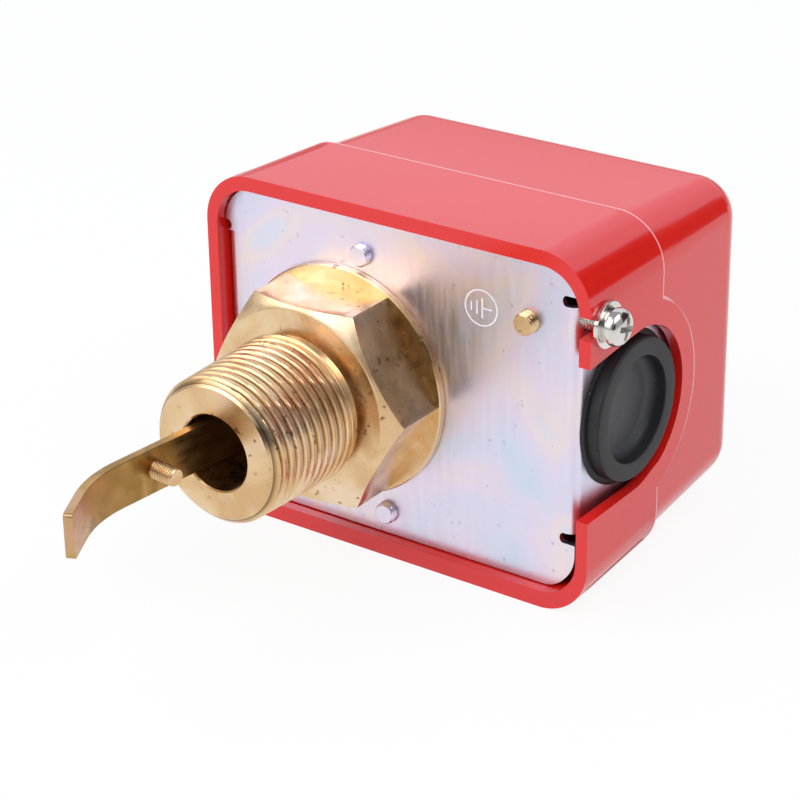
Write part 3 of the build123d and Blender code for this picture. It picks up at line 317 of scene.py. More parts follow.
def darkPhenolic():
    # compression moulded phenolic: brown black and dull, with a fine mottle
    material, tree, shader, where = newFinish("darkPhenolic", Roughness=0.45, IOR=1.6)
    feed(tree, shader, ramp(tree, noise(tree, where, 1.5 * mm, 4), [(0.3, "#1C1A19"), (0.7, "#2C2927")]))
    bump(tree, shader, noise(tree, where, 0.4 * mm, 2), 0.02 * mm, 0.3)
    return material


finishes = {
    "brass": machinedBrass(),
    "zinc_plated_steel": passivatedZinc(),
    "phosphor_bronze": drawnBronze(),
    "bronze_strip": tarnishedBronze(),
    "bright_steel": nickelPlate(),
    "switch_plastic": darkPhenolic(),
    "black_rubber": blackRubber(),
    "red_abs": mouldedRedPlastic(),
}
slotOf = {row["node"]: row["material_slot"] for row in frame["record"]["subparts"]}
bodyOf = {node: body for body, nodes in frame["record"]["behaviour"]["bodies"].items() for node in nodes}
print("finishes made:", len(finishes))


def newObject(name, data):
    obj = bpy.data.objects.new(name, data)
    bpy.context.collection.objects.link(obj)
    return obj


def aimedAt(origin, way):
    # turns +Z to the direction and moves the start to the origin
    return Matrix.Translation(origin) @ Vector(way).to_track_quat("Z", "Y").to_matrix().to_4x4()


def outward(mesh):
    built = bmesh.new()
    built.from_mesh(mesh)
    bmesh.ops.recalc_face_normals(built, faces=built.faces)
    built.to_mesh(mesh)
    built.free()
    return mesh


def newMesh(name, points, faces):
    mesh = bpy.data.meshes.new(name)
    mesh.from_pydata(points, [], faces)
    return outward(mesh)


def bands(rows, count, looped=False):
    # quads between rings of points, with the ends closed or the last ring joined to the first
    faces = [] if looped else [tuple(range(count)), tuple(range((rows - 1) * count, rows * count))]
    for row in range(rows if looped else rows - 1):
        low, high = row * count, (row + 1) % rows * count
        for i in range(count):
            j = (i + 1) % count
            faces.append((low + i, low + j, high + j, high + i))
    return faces


def plainMesh(obj):
    # the evaluated object as a plain mesh, its modifiers gone
    meshNow = bpy.data.meshes.new_from_object(obj.evaluated_get(bpy.context.evaluated_depsgraph_get()))
    obj.modifiers.clear()
    obj.data = meshNow
    return obj


def newPiece(name, mesh, slot=None, sharp=35):
    obj = newObject(name, mesh)
    if slot:
        mesh.materials.clear()
        mesh.materials.append(finishes[slot])
    mesh.shade_smooth()
    mesh.set_sharp_from_angle(angle=math.radians(sharp))
    return obj


def place(obj, body, slot, *nodes):
    # the piece moves with its body when one is given, and stands for the CAD nodes named
    if body:
        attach(obj, body)
    if nodes:
        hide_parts(*nodes)
    return obj


def mergedCopy(node):
    built = bmesh.new()
    built.from_mesh(frame["nodes"][node].data)
    bmesh.ops.remove_doubles(built, verts=built.verts, dist=0.002 * mm)
    bmesh.ops.dissolve_degenerate(built, edges=built.edges, dist=0.001 * mm)
    mesh = bpy.data.meshes.new(node)
    built.to_mesh(mesh)
    built.free()
    return mesh


def softEdged(node, width, segments=2, angle=32, shape=None):
    # the CAD node with its sharp edges rounded, as a real edge is
    built = bmesh.new()
    built.from_mesh(mergedCopy(node))
    flatWithin = math.radians(1.0)
    bmesh.ops.dissolve_limit(built, angle_limit=flatWithin, verts=built.verts, edges=built.edges,
                             use_dissolve_boundaries=False, delimit=set())
    if shape:
        for vert in built.verts:
            vert.co = shape(vert.co)
    mesh = bpy.data.meshes.new(node + "_skin")
    built.to_mesh(mesh)
    built.free()
    obj = newPiece(node + "_skin", mesh, slotOf[node], 60)
    rounding = obj.modifiers.new("edge", "BEVEL")
    rounding.width = width
    rounding.segments = segments
    rounding.limit_method = "ANGLE"
    rounding.angle_limit = math.radians(angle)
    rounding.miter_outer = "MITER_ARC"
    evenNormals = obj.modifiers.new("evenNormals", "WEIGHTED_NORMAL")
    evenNormals.keep_sharp = True
    evenNormals.weight = 100
    plainMesh(obj)
    return place(obj, bodyOf[node], slotOf[node], node)


def solidBoxes(node):
    # lowest and highest corner of each separate solid of a node
    built = bmesh.new()
    built.from_mesh(mergedCopy(node))
    left, boxes = set(built.verts), []
    while left:
        island, edge = set(), [left.pop()]
        while edge:
            vert = edge.pop()
            island.add(vert)
            for link in vert.link_edges:
                other = link.other_vert(vert)
                if other in left:
                    left.discard(other)
                    edge.append(other)
        spots = [v.co for v in island]
        boxes.append((Vector(map(min, zip(*spots))), Vector(map(max, zip(*spots)))))
    built.free()
    return sorted(boxes, key=lambda box: tuple(box[0]))


def latheMesh(name, profile, origin, axis, sides=96, closedRing=False):
    # profile is (distance along the axis, radius) pairs; a radius of 0 closes at the axis
    axis = Vector(axis).normalized()
    across = axis.orthogonal().normalized()
    third = axis.cross(across)
    points, faces, rings = [], [], []
    for along, radius in profile:
        if radius <= 0:
            rings.append([len(points)] * sides)
            points.append(Vector(origin) + axis * along)
            continue
        rings.append(list(range(len(points), len(points) + sides)))
        for i in range(sides):
            turn = 2 * math.pi * i / sides
            out = across * math.cos(turn) + third * math.sin(turn)
            points.append(Vector(origin) + axis * along + out * radius)
    pairs = list(zip(rings, rings[1:])) + ([(rings[-1], rings[0])] if closedRing else [])
    for low, high in pairs:
        for i in range(sides):
            j = (i + 1) % sides
            corners = [low[i], low[j], high[j], high[i]]
            corners = [c for k, c in enumerate(corners) if c not in corners[:k]]
            if len(corners) > 2:
                faces.append(corners)
    return newMesh(name, points, faces)


def newTree(name, inputs):
    # a node tree that gives geometry, with its inputs named by kind
    tree = bpy.data.node_groups.new(name, "GeometryNodeTree")
    tree.interface.new_socket("Geometry", in_out="OUTPUT", socket_type="NodeSocketGeometry")
    for kind, titles in inputs.items():
        for title in titles:
            tree.interface.new_socket(title, in_out="INPUT", socket_type="NodeSocket" + kind)
    return tree, tree.nodes.new("NodeGroupInput").outputs


def endTree(tree, geometry, finish):
    real = addNode(tree, "GeometryNodeRealizeInstances", {0: geometry})
    dressed = addNode(tree, "GeometryNodeSetMaterial", {"Geometry": real.outputs[0], "Material": finish})
    addNode(tree, "NodeGroupOutput", {0: dressed.outputs[0]})
    return tree


def threadTree():
    # a right-hand thread that starts at the origin and runs along +Z, on a straight or tapered shank
    tree, given = newTree("threadTree", {
        "Float": ("Radius", "Taper", "Length", "Pitch", "Depth", "Groove", "Lead", "Fade", "Core", "Start"),
        "Int": ("Sides", "Rows"), "Material": ("Finish",),
    })

    def calc(operation, first, second=0.0, clamp=False):
        return maths(tree, operation, first, second, clamp)

    grid = addNode(tree, "GeometryNodeMeshGrid", {
        "Size X": 1.0, "Size Y": 1.0, "Vertices X": calc("ADD", given["Rows"], 3.0),
        "Vertices Y": calc("ADD", given["Sides"], 1.0),
    })
    spot = addNode(tree, "ShaderNodeSeparateXYZ", {0: addNode(tree, "GeometryNodeInputPosition").outputs[0]})
    # rows 0 and Rows + 1 are the ends' inner rims, and row Rows + 2 closes the inside
    row = calc("ROUND", calc("MULTIPLY", calc("ADD", spot.outputs[0], 0.5), calc("ADD", given["Rows"], 2.0)))
    share = calc("DIVIDE", calc("SUBTRACT", row, 1.0), calc("SUBTRACT", given["Rows"], 1.0), True)
    inside = calc("LESS_THAN", row, 0.5)
    behind = calc("GREATER_THAN", row, calc("ADD", given["Rows"], 0.5))
    closing = calc("GREATER_THAN", row, calc("ADD", given["Rows"], 1.5))
    along = calc("MULTIPLY", calc("MULTIPLY", share, given["Length"]), calc("SUBTRACT", 1.0, closing))
    turn = calc("MULTIPLY", spot.outputs[1], 2 * math.pi)
    turnsDone = calc("SUBTRACT", calc("DIVIDE", along, given["Pitch"]), spot.outputs[1])
    phase = calc("FRACT", calc("ADD", turnsDone, given["Start"]))
    fromGroove = calc("ABSOLUTE", calc("SUBTRACT", phase, 0.5))
    flank = calc("SUBTRACT", 1.0, calc("DIVIDE", calc("MULTIPLY", fromGroove, 2.0), given["Groove"]), True)
    rounded = addNode(tree, "ShaderNodeMapRange", {"Value": flank}, interpolation_type="SMOOTHSTEP")
    cut = calc("ADD", calc("MULTIPLY", flank, 0.6), calc("MULTIPLY", rounded.outputs[0], 0.4))
    runOut = calc("DIVIDE", calc("SUBTRACT", given["Length"], along), given["Fade"], True)
    crest = calc("ADD", given["Radius"], calc("MULTIPLY", along, given["Taper"]))
    groove = calc("SUBTRACT", crest, calc("MULTIPLY", calc("MULTIPLY", cut, runOut), given["Depth"]))
    leadCone = calc("ADD", calc("SUBTRACT", given["Radius"], given["Lead"]), along)
    outer = calc("MINIMUM", groove, leadCone)
    rim = calc("MAXIMUM", inside, behind)
    shown = calc("MULTIPLY", outer, calc("SUBTRACT", 1.0, rim))
    radius = calc("ADD", shown, calc("MULTIPLY", given["Core"], rim))
    place = addNode(tree, "ShaderNodeCombineXYZ", {
        0: calc("MULTIPLY", radius, calc("COSINE", turn)),
        1: calc("MULTIPLY", radius, calc("SINE", turn)), 2: along,
    }).outputs[0]
    moved = addNode(tree, "GeometryNodeSetPosition", {"Geometry": grid.outputs["Mesh"], "Position": place})
    joined = addNode(tree, "GeometryNodeMergeByDistance", {
        "Geometry": moved.outputs[0], "Distance": 0.0005 * mm,
    })
    return endTree(tree, joined.outputs[0], given["Finish"])


def grown(name, tree, values, base=None):
    # the tree's result as a plain mesh; inputs are set by their identifiers
    holder = newObject(name, base or bpy.data.meshes.new(name))
    modifier = holder.modifiers.new("tree", "NODES")
    modifier.node_group = tree
    for item in tree.interface.items_tree:
        if item.item_type == "SOCKET" and item.in_out == "INPUT" and item.name in values:
            modifier[item.identifier] = values[item.name]
    mesh = bpy.data.meshes.new_from_object(holder.evaluated_get(bpy.context.evaluated_depsgraph_get()))
    bpy.data.objects.remove(holder)
    return mesh


threads = threadTree()


def threadMesh(name, slot, radius, length, pitch, depth, lead, taper=0.0, groove=0.8, fade=None, core=None,
               start=0.0, sides=48, rowsPerPitch=10):
    return grown(name, threads, {
        "Radius": radius, "Taper": taper, "Length": length, "Pitch": pitch, "Depth": depth, "Groove": groove,
        "Lead": lead, "Fade": fade or pitch, "Core": core or 0.0, "Start": start,
        "Sides": sides, "Rows": int(length / pitch * rowsPerPitch), "Finish": finishes[slot],
    })


def pointed(mesh, origin, axis):
    mesh.transform(aimedAt(origin, axis))
    return outward(mesh)


def joinMeshes(name, meshes):
    built = bmesh.new()
    for mesh in meshes:
        built.from_mesh(mesh)
    whole = bpy.data.meshes.new(name)
    built.to_mesh(whole)
    built.free()
    return whole


pipeFitting = {
    "noseRadius": 14.57 * mm, "boreRadius": 8.5 * mm, "boreEdge": 0.35 * mm,
    "reliefRadius": 15.46 * mm, "reliefLength": 3.33 * mm, "reliefFillet": 0.6 * mm,
    "hexWidth": 45 * mm, "hexInset": 0.9 * mm, "hexChamfer": math.radians(30), "hexCorner": 0.5 * mm,
    "discRadius": 26.6 * mm, "discThickness": 1.9 * mm, "edge": 0.25 * mm,
    "spigotRadius": 16.0 * mm, "chamberRadius": 13.0 * mm, "chamberDepth": 13.5 * mm, "sides": 360,
    "threadFade": 0.9 * mm, "threadStart": 0.1, "threadSides": 288, "threadRows": 16,
}


def hexRadius(turn, size, corner):
    # distance from the axis to the hexagon, its corners rounded a little
    off = (turn + math.pi / 6) % (math.pi / 3) - math.pi / 6  # angle from the nearest corner
    flat = size / 2 / math.cos(math.pi / 6 - abs(off))
    tip = size / math.sqrt(3) - corner * 0.155  # what the rounding takes off a hexagon's corner
    return min(flat, tip)


def makePipeFitting():
    p = pipeFitting
    low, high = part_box("pipe_fitting")
    nose, spigotEnd = low.y, high.y
    threadEnd = pipeThread["end"]
    hexFront = threadEnd + p["reliefLength"]
    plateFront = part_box("base_plate")[0].y
    discFront = plateFront - p["discThickness"]
    chamber = plateFront - p["chamberDepth"]
    flatRadius = p["hexWidth"] / 2 - p["hexInset"]
    slope = math.tan(p["hexChamfer"])
    coreRadius = p["reliefRadius"] - pipeThread["depth"]
    e, fillet = p["edge"], p["reliefFillet"]
    coreStart = nose + e + max(coreRadius - p["noseRadius"] - e, e)

    def ring(radius, y):
        return lambda turn: (radius, y)

    def hexRow(share):
        # from the chamfer's edge on the flat, which bows with the angle, back to the flange
        def row(turn):
            radius = hexRadius(turn, p["hexWidth"], p["hexCorner"])
            front = hexFront + max(0, radius - flatRadius) * slope
            return radius, front + (discFront - front) * share
        return row

    def coneRow(share):
        def row(turn):
            radius = flatRadius + (hexRadius(turn, p["hexWidth"], p["hexCorner"]) - flatRadius) * share
            return radius, hexFront + (radius - flatRadius) * slope
        return row

    rows = [
        ring(p["boreRadius"], nose + p["boreEdge"]), ring(p["boreRadius"] + p["boreEdge"], nose),
        ring(p["noseRadius"], nose), ring(p["noseRadius"] + e, nose + e),
        ring(coreRadius, coreStart), ring(coreRadius, threadEnd - e),
        ring(p["reliefRadius"], threadEnd - e), ring(p["reliefRadius"], hexFront - fillet),
        ring(p["reliefRadius"] + 0.3 * fillet, hexFront - 0.3 * fillet),
        ring(p["reliefRadius"] + fillet, hexFront),
        ring(flatRadius - 0.2 * mm, hexFront), coneRow(0.02), coneRow(0.5), coneRow(0.97),
        hexRow(0.01), hexRow(0.25), hexRow(0.5), hexRow(0.75), hexRow(1.0),
        ring(p["discRadius"] - e, discFront), ring(p["discRadius"], discFront + e),
        ring(p["discRadius"], plateFront - e), ring(p["discRadius"] - e, plateFront),
        ring(p["spigotRadius"], plateFront), ring(p["spigotRadius"], spigotEnd - e),
        ring(p["spigotRadius"] - e, spigotEnd), ring(p["chamberRadius"] + e, spigotEnd),
        ring(p["chamberRadius"], spigotEnd - e), ring(p["chamberRadius"], chamber),
        ring(p["boreRadius"], chamber),
    ]
    sides = p["sides"]
    points = []
    for row in rows:
        for i in range(sides):
            turn = 2 * math.pi * i / sides
            radius, y = row(turn)
            points.append((radius * math.cos(turn), y, radius * math.sin(turn)))
    body = newMesh("fittingBody", points, bands(len(rows), sides, True))
    noseCrest = pipeThread["gaugeRadius"] + nose * pipeThread["taper"]
    thread = threadMesh(
        "fittingThread", "brass", radius=noseCrest, taper=pipeThread["taper"], length=threadEnd - nose - e,
        pitch=pipeThread["pitch"], depth=pipeThread["depth"], groove=pipeThread["groove"],
        lead=noseCrest - p["noseRadius"] - e, fade=p["threadFade"], core=coreRadius - 0.6 * mm,
        start=p["threadStart"], sides=p["threadSides"], rowsPerPitch=p["threadRows"])
    pointed(thread, (0, nose + e, 0), (0, 1, 0))
    whole = joinMeshes("pipe_fitting_turned", [body, thread])
    fitting = newPiece("pipe_fitting_turned", whole, "brass", 28)
    return place(fitting, "housing", "brass", "pipe_fitting")


makePipeFitting()
print("pipe fitting made")


# how far the moulding's walls stand inside the solid's, at places along the cover
coverDraft = {
    "from": 36 * mm, "step": 57.8 * mm, "stepInset": 1.07 * mm, "past": 60 * mm, "pastInset": 0.72 * mm,
    "backInset": 1.55 * mm,
}
coverLow, coverHigh = (Vector(corner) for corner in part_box("cover"))
coverMiddle, coverHalf = (coverLow + coverHigh) / 2, (coverHigh - coverLow) / 2
draftStops = [
    (coverLow.y, 0), (coverDraft["from"], 0), (coverDraft["step"], coverDraft["stepInset"]),
    (coverDraft["past"], coverDraft["pastInset"]), (coverHigh.y, coverDraft["backInset"]),
]


def draftedIn(spot):
    # the moulding's walls lean in a little more towards the back, and its step is shallow
    inset = 0
    for (y0, e0), (y1, e1) in zip(draftStops, draftStops[1:]):
        if y0 <= spot.y <= y1:
            inset = e0 + (e1 - e0) * (spot.y - y0) / (y1 - y0)
    return Vector((spot.x - inset * (spot.x - coverMiddle.x) / coverHalf.x, spot.y,
                   spot.z - inset * (spot.z - coverMiddle.z) / coverHalf.z))


# the entry flange stands this much further inside the cover's wall than its solid
entryFlange = {"inset": 1.55 * mm, "bend": 2.42 * mm, "giveWay": 8 * mm, "sheet": 1.5 * mm}
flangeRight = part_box("base_plate")[1].x


def flangeMoved(spot):
    # the plate gives way over the last few millimetres before the bend, so its notches keep their order
    giveWay = entryFlange["giveWay"]
    share = (spot.x - (flangeRight - entryFlange["bend"] - giveWay)) / giveWay
    return Vector((spot.x - entryFlange["inset"] * min(max(share, 0), 1), spot.y, spot.z))


# sheet metal and mouldings keep their CAD shape, with edges this wide
edges = {
    "paddle_arm": 0.28 * mm, "mechanism_bracket": 0.2 * mm,
    "rocker": 0.2 * mm, "fitting_lock_ring": 0.25 * mm, "switch_body": 0.3 * mm, "earth_clamp": 0.15 * mm,
    "terminal_clamps": 0.12 * mm, "flat_washer": 0.12 * mm, "bracket_washers": 0.12 * mm,
    "switch_nuts": 0.25 * mm, "terminal_plates": 0.08 * mm, "spring_seat": 0.2 * mm, "arm_rivets": 0.2 * mm,
    "pivot_washers": 0.1 * mm, "pivot_clips": 0.08 * mm, "range_clip": 0.08 * mm, "switch_leaf": 0.1 * mm,
    "actuator_button": 0.15 * mm, "bellows_ring": 0.12 * mm, "bellows_cap": 0.12 * mm,
}
for node, width in edges.items():
    softEdged(node, width)
softEdged("base_plate", 0.16 * mm, shape=flangeMoved)
softEdged("cover", 0.5 * mm, 3, 32, draftedIn)
print("edges rounded:", len(edges) + 2)


# a screw is made once, its seat at the origin and its head towards +Z, and a node tree sets copies
# of it on their places
def tapered(name, outline, rows):
    # rows are (height, scale) pairs of the same outline
    points = [(x * scale, y * scale, z) for z, scale in rows for x, y in outline]
    return newMesh(name, points, bands(len(rows), len(outline)))


def cutBy(mesh, cutter):
    held = [newObject(part.name, part) for part in (mesh, cutter)]
    cut = held[0].modifiers.new("cut", "BOOLEAN")
    cut.object = held[1]
    cut.solver = "EXACT"
    result = bpy.data.meshes.new_from_object(held[0].evaluated_get(bpy.context.evaluated_depsgraph_get()))
    for obj in held:
        bpy.data.objects.remove(obj)
    return result


def driveCutter(kind, head, height):
    # half the width and half the length of the recess, as shares of the head's radius
    p = {"cross": (0.15, 0.64), "slot": (0.14, 1.2)}
    w, r = (share * head for share in p[kind])
    if kind == "cross":
        outline = [(r, -w), (r, w), (w, w), (w, r), (-w, r), (-w, w), (-r, w), (-r, -w), (-w, -w), (-w, -r),
                   (w, -r), (w, -w)]
        rows = [(height * 0.25, 0.35), (height * 0.96, 1.0), (height * 1.1, 1.15)]
    else:
        outline = [(r, -w), (r, w), (-r, w), (-r, -w)]
        rows = [(height * 0.55, 1.0), (height * 1.1, 1.0)]
    return tapered(kind + "Cutter", outline, rows)


def screwMesh(name, slot, p):
    # side is the share of the head's height that is straight; the rest is a dome
    head, height, edge, domeRows = p["head"], p["height"], 0.12 * mm, 12
    dome = [(height * (p["side"] + (1 - p["side"]) * math.sin(a)), head * math.cos(a) ** 0.62)
            for a in [math.radians(90) * k / domeRows for k in range(domeRows)]]
    profile = [(0, 0), (0, head - edge), (edge, head)] + dome + [(height, 0)]
    blank = latheMesh(name + "Head", profile, (0, 0, 0), (0, 0, 1), 72)
    top = cutBy(blank, driveCutter(p["drive"], head, height))
    shank = threadMesh(name + "Shank", slot, radius=p["shank"], length=p["reach"], pitch=p["pitch"],
                       depth=0.58 * p["pitch"], lead=0.5 * p["pitch"], groove=0.9, sides=40, rowsPerPitch=8)
    shank.transform(Matrix.Translation((0, 0, -p["reach"])))
    return joinMeshes(name, [top, shank])


def placeTree():
    # copies of a fastener on points, turned to an axis and each turned about it by its own amount
    tree, given = newTree("placeTree", {
        "Geometry": ("Places",), "Object": ("Fastener",), "Vector": ("Axis",), "Float": ("Turn",),
        "Int": ("Seed",), "Material": ("Finish",),
    })
    info = addNode(tree, "GeometryNodeObjectInfo", {"Object": given["Fastener"]})
    aimed = addNode(tree, "FunctionNodeAlignRotationToVector", {"Vector": given["Axis"]}, axis="Z")
    turn = addNode(tree, "FunctionNodeRandomValue", {2: 0.0, 3: given["Turn"], "Seed": given["Seed"]},
                   data_type="FLOAT")
    spin = addNode(tree, "FunctionNodeAxisAngleToRotation", {"Axis": (0, 0, 1), "Angle": turn.outputs[1]})
    both = addNode(tree, "FunctionNodeRotateRotation", {0: aimed.outputs[0], 1: spin.outputs[0]},
                   rotation_space="LOCAL")
    copies = addNode(tree, "GeometryNodeInstanceOnPoints", {
        "Points": given["Places"], "Instance": info.outputs["Geometry"], "Rotation": both.outputs[0],
    })
    return endTree(tree, copies.outputs[0], given["Finish"])


places = placeTree()
screwTurns = {"Turn": 2 * math.pi, "Seed": 4}


def spread(name, node, mesh, points, axis):
    # one piece with a copy of the mesh on each point, which stands for the node
    fastener = newObject(name + "One", mesh)
    spots = bpy.data.meshes.new(name + "Places")
    spots.from_pydata([tuple(p) for p in points], [], [])
    slot = slotOf[node]
    whole = grown(name, places, dict(
        screwTurns, Fastener=fastener, Axis=tuple(axis), Finish=finishes[slot]), spots)
    bpy.data.objects.remove(fastener)
    return place(newPiece(name, outward(whole), slot, 30), bodyOf[node], slot, node)


screws = {
    "cover_screw": {
        "axis": (1, 0, 0), "shank": 2.0 * mm, "height": 3.0 * mm, "pitch": 0.7 * mm,
        "drive": "cross", "side": 0.22,
    },
    "bracket_screws": {
        "axis": (0, 1, 0), "shank": 2.5 * mm, "height": 3.4 * mm, "pitch": 0.8 * mm,
        "drive": "cross", "side": 0.3,
    },
    "earth_screw": {
        "axis": (0, 1, 0), "shank": 2.5 * mm, "height": 3.2 * mm, "pitch": 0.8 * mm,
        "drive": "slot", "side": 0.4,
    },
    "switch_screws": {
        "axis": (0, 0, -1), "shank": 2.0 * mm, "height": 3.0 * mm, "pitch": 0.7 * mm,
        "drive": "cross", "side": 0.3,
    },
    "terminal_screws": {
        "axis": (1, 0, 0), "shank": 1.75 * mm, "height": 2.6 * mm, "pitch": 0.6 * mm,
        "drive": "cross", "side": 0.4,
    },
    "range_screw": {
        "axis": (-1, 0, 0), "shank": 2.0 * mm, "height": 2.8 * mm, "pitch": 0.7 * mm,
        "drive": "slot", "side": 0.55,
    },
}
for node, given in screws.items():
    axis = Vector(given["axis"])
    boxes = solidBoxes(node)
    low, high = boxes[0]
    size = high - low
    length = abs(size.dot(axis))
    across = max(abs(size[k]) for k in range(3) if abs(axis[k]) < 0.5)
    sizes = dict(given, head=across / 2, reach=length - given["height"])
    seats = []
    for low, high in boxes:
        centre = (low + high) / 2
        seats.append(centre + axis * (length / 2 - given["height"]))
    spread(node + "_turned", node, screwMesh(node, slotOf[node], sizes), seats, axis)
print("screws made:", len(screws))


def springWasher():
    # one coil of square wire, its ends cut on the slant and pressed flat
    p = {"inner": 2.15 * mm, "gap": math.radians(14), "slant": math.radians(9), "gapAt": math.radians(70),
         "edge": 0.1 * mm, "steps": 72}
    low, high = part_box("spring_washer")
    centre = (low + high) / 2
    outer, thick = (high.z - low.z) / 2, high.x - low.x
    e = p["edge"]
    section = [(p["inner"], e), (p["inner"] + e, 0), (outer - e, 0), (outer, e), (outer, thick - e),
               (outer - e, thick), (p["inner"] + e, thick), (p["inner"], thick - e)]
    points = []
    for i in range(p["steps"] + 1):
        share = i / p["steps"]
        for radius, along in section:
            lean = (along / thick - 0.5) * p["slant"]
            turn = p["gapAt"] + p["gap"] / 2 + share * (2 * math.pi - p["gap"]) + lean
            y, z = centre.y + radius * math.cos(turn), centre.z + radius * math.sin(turn)
            points.append((low.x + along, y, z))
    mesh = newMesh("split_washer", points, bands(p["steps"] + 1, len(section)))
    place(newPiece("split_washer", mesh, "bright_steel", 30), "housing", "bright_steel", "spring_washer")


springWasher()


def armStud():
    # threaded stud through the strip, its thin head on the far side
    p = {"length": 5.8 * mm, "radius": 2.05 * mm, "pitch": 0.7 * mm, "depth": 0.42 * mm,
         "headHeight": 0.8 * mm, "headRadius": 3.2 * mm, "neckRadius": 1.7 * mm, "overlap": 0.2 * mm}
    mount = mountNamed("paddle_stud")
    root, axis = Vector(mount["pos_m"]), Vector(mount["axis"]).normalized()
    along = [(v.co - root).dot(axis) for v in frame["nodes"]["paddle_stud"].data.vertices]
    tip, back = root + axis * max(along), root + axis * min(along)
    thread = threadMesh("studThread", "brass", radius=p["radius"], length=p["length"], pitch=p["pitch"],
                        depth=p["depth"], lead=0.5 * p["pitch"], groove=0.85, fade=0.2 * mm, sides=56,
                        rowsPerPitch=12)
    pointed(thread, tip, -axis)
    h, r, neck = p["headHeight"], p["headRadius"], p["neckRadius"]
    neckEnd = (tip - back).length - p["length"] + p["overlap"]
    head = latheMesh("studHead", [
        (0, 0), (0, r * 0.8), (h * 0.35, r * 0.97), (h * 0.6, r), (h, r), (h, neck), (neckEnd, neck),
        (neckEnd, 0),
    ], back, axis, 64)
    stud = newPiece("paddle_stud_threaded", joinMeshes("paddle_stud_threaded", [thread, head]), "brass", 30)
    place(stud, "paddle", "brass", "paddle_stud")


armStud()


def cableGrommet():
    # blanking grommet: a straight collar with a flat face ring, and a dish whose floor runs into its wall
    p = {"outer": 15.9 * mm, "lip": 17.2 * mm, "lipHeight": 0.55 * mm, "lipEdge": 0.3 * mm,
         "dish": 11.85 * mm, "dishDepth": 4.4 * mm, "faceInset": 1.1 * mm, "edge": 0.55 * mm,
         "floorCurve": 2.6 * mm, "wall": 1.2 * mm, "neck": 14.05 * mm, "catch": 16.4 * mm,
         "catchEdge": (0.6 * mm, 1.0 * mm)}
    low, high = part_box("conduit_grommet")
    plateRight = flangeRight - entryFlange["inset"]
    plateInner = plateRight - entryFlange["sheet"]
    innerEnd = low.x - entryFlange["inset"]
    entry = mountNamed("cable_entry")["pos_m"]
    centre = (0, entry[1], entry[2])
    face = high.x - p["faceInset"]
    floorX, e, c = face - p["dishDepth"], p["edge"], p["floorCurve"]
    quarter = [math.radians(90) * k / 8 for k in range(9)]
    profile = [(floorX, 0)]
    profile += [(floorX + c * (1 - math.cos(a)), p["dish"] - c * (1 - math.sin(a))) for a in quarter]
    profile += [(face - e, p["dish"])]
    inner, lipTop = 0.4 * e, plateRight + p["lipHeight"]
    profile += [(face - inner * (1 - math.sin(a)), p["dish"] + inner * (1 - math.cos(a)))
                for a in quarter[::2]]
    profile += [(face - e * (1 - math.cos(a)), p["outer"] - e * (1 - math.sin(a))) for a in quarter]
    catchAlong, catchIn = p["catchEdge"]
    profile += [(lipTop, p["outer"]), (lipTop, p["lip"] - p["lipEdge"]),
                (plateRight + p["lipHeight"] * 0.6, p["lip"]), (plateRight, p["lip"]),
                (plateRight, p["neck"]), (plateInner, p["neck"]), (plateInner, p["catch"]),
                (innerEnd + catchAlong, p["catch"]), (innerEnd, p["catch"] - catchIn), (innerEnd, p["dish"]),
                (floorX - p["wall"], p["dish"] - p["wall"]), (floorX - p["wall"], 0)]
    profile = [pair for k, pair in enumerate(profile) if k == 0 or pair != profile[k - 1]]
    mesh = latheMesh("cable_grommet_moulded", profile, centre, (1, 0, 0), 128)
    grommet = newPiece("cable_grommet_moulded", mesh, "black_rubber", 40)
    place(grommet, "housing", "black_rubber", "conduit_grommet")


cableGrommet()


def bellowsSeal():
    # bronze tube drawn into even folds, soldered in its ring at one end and to the arm's cap at the other
    p = {"inner": 6.6 * mm, "outer": 9.0 * mm, "wall": 0.4 * mm, "turns": 5, "pitch": 1.6 * mm,
         "cuff": 1.0 * mm, "steps": 12}
    low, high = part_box("bellows")
    start = low.y + p["cuff"]
    middleRadius = (p["inner"] + p["outer"]) / 2
    swing = (p["outer"] - p["inner"] - p["wall"]) / 2
    half = p["wall"] / 2
    line = [(low.y, p["inner"] + half)]  # the middle of the wall
    for k in range(p["turns"] * p["steps"] + 1):
        wave = math.cos(2 * math.pi * k / p["steps"])
        wave = -math.copysign(abs(wave) ** 0.7, wave)
        line.append((start + p["pitch"] * k / p["steps"], middleRadius + wave * swing))
    line.append((high.y, p["inner"] + half))
    outside, inside = ([(y, radius + side) for y, radius in line] for side in (half, -half))
    mesh = latheMesh("bellows_folded", outside + inside[::-1], (0, 0, 0), (0, 1, 0), 96, True)
    seal = place(newPiece("bellows_folded", mesh, "phosphor_bronze", 50), None, "phosphor_bronze", "bellows")
    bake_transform(seal)


bellowsSeal()


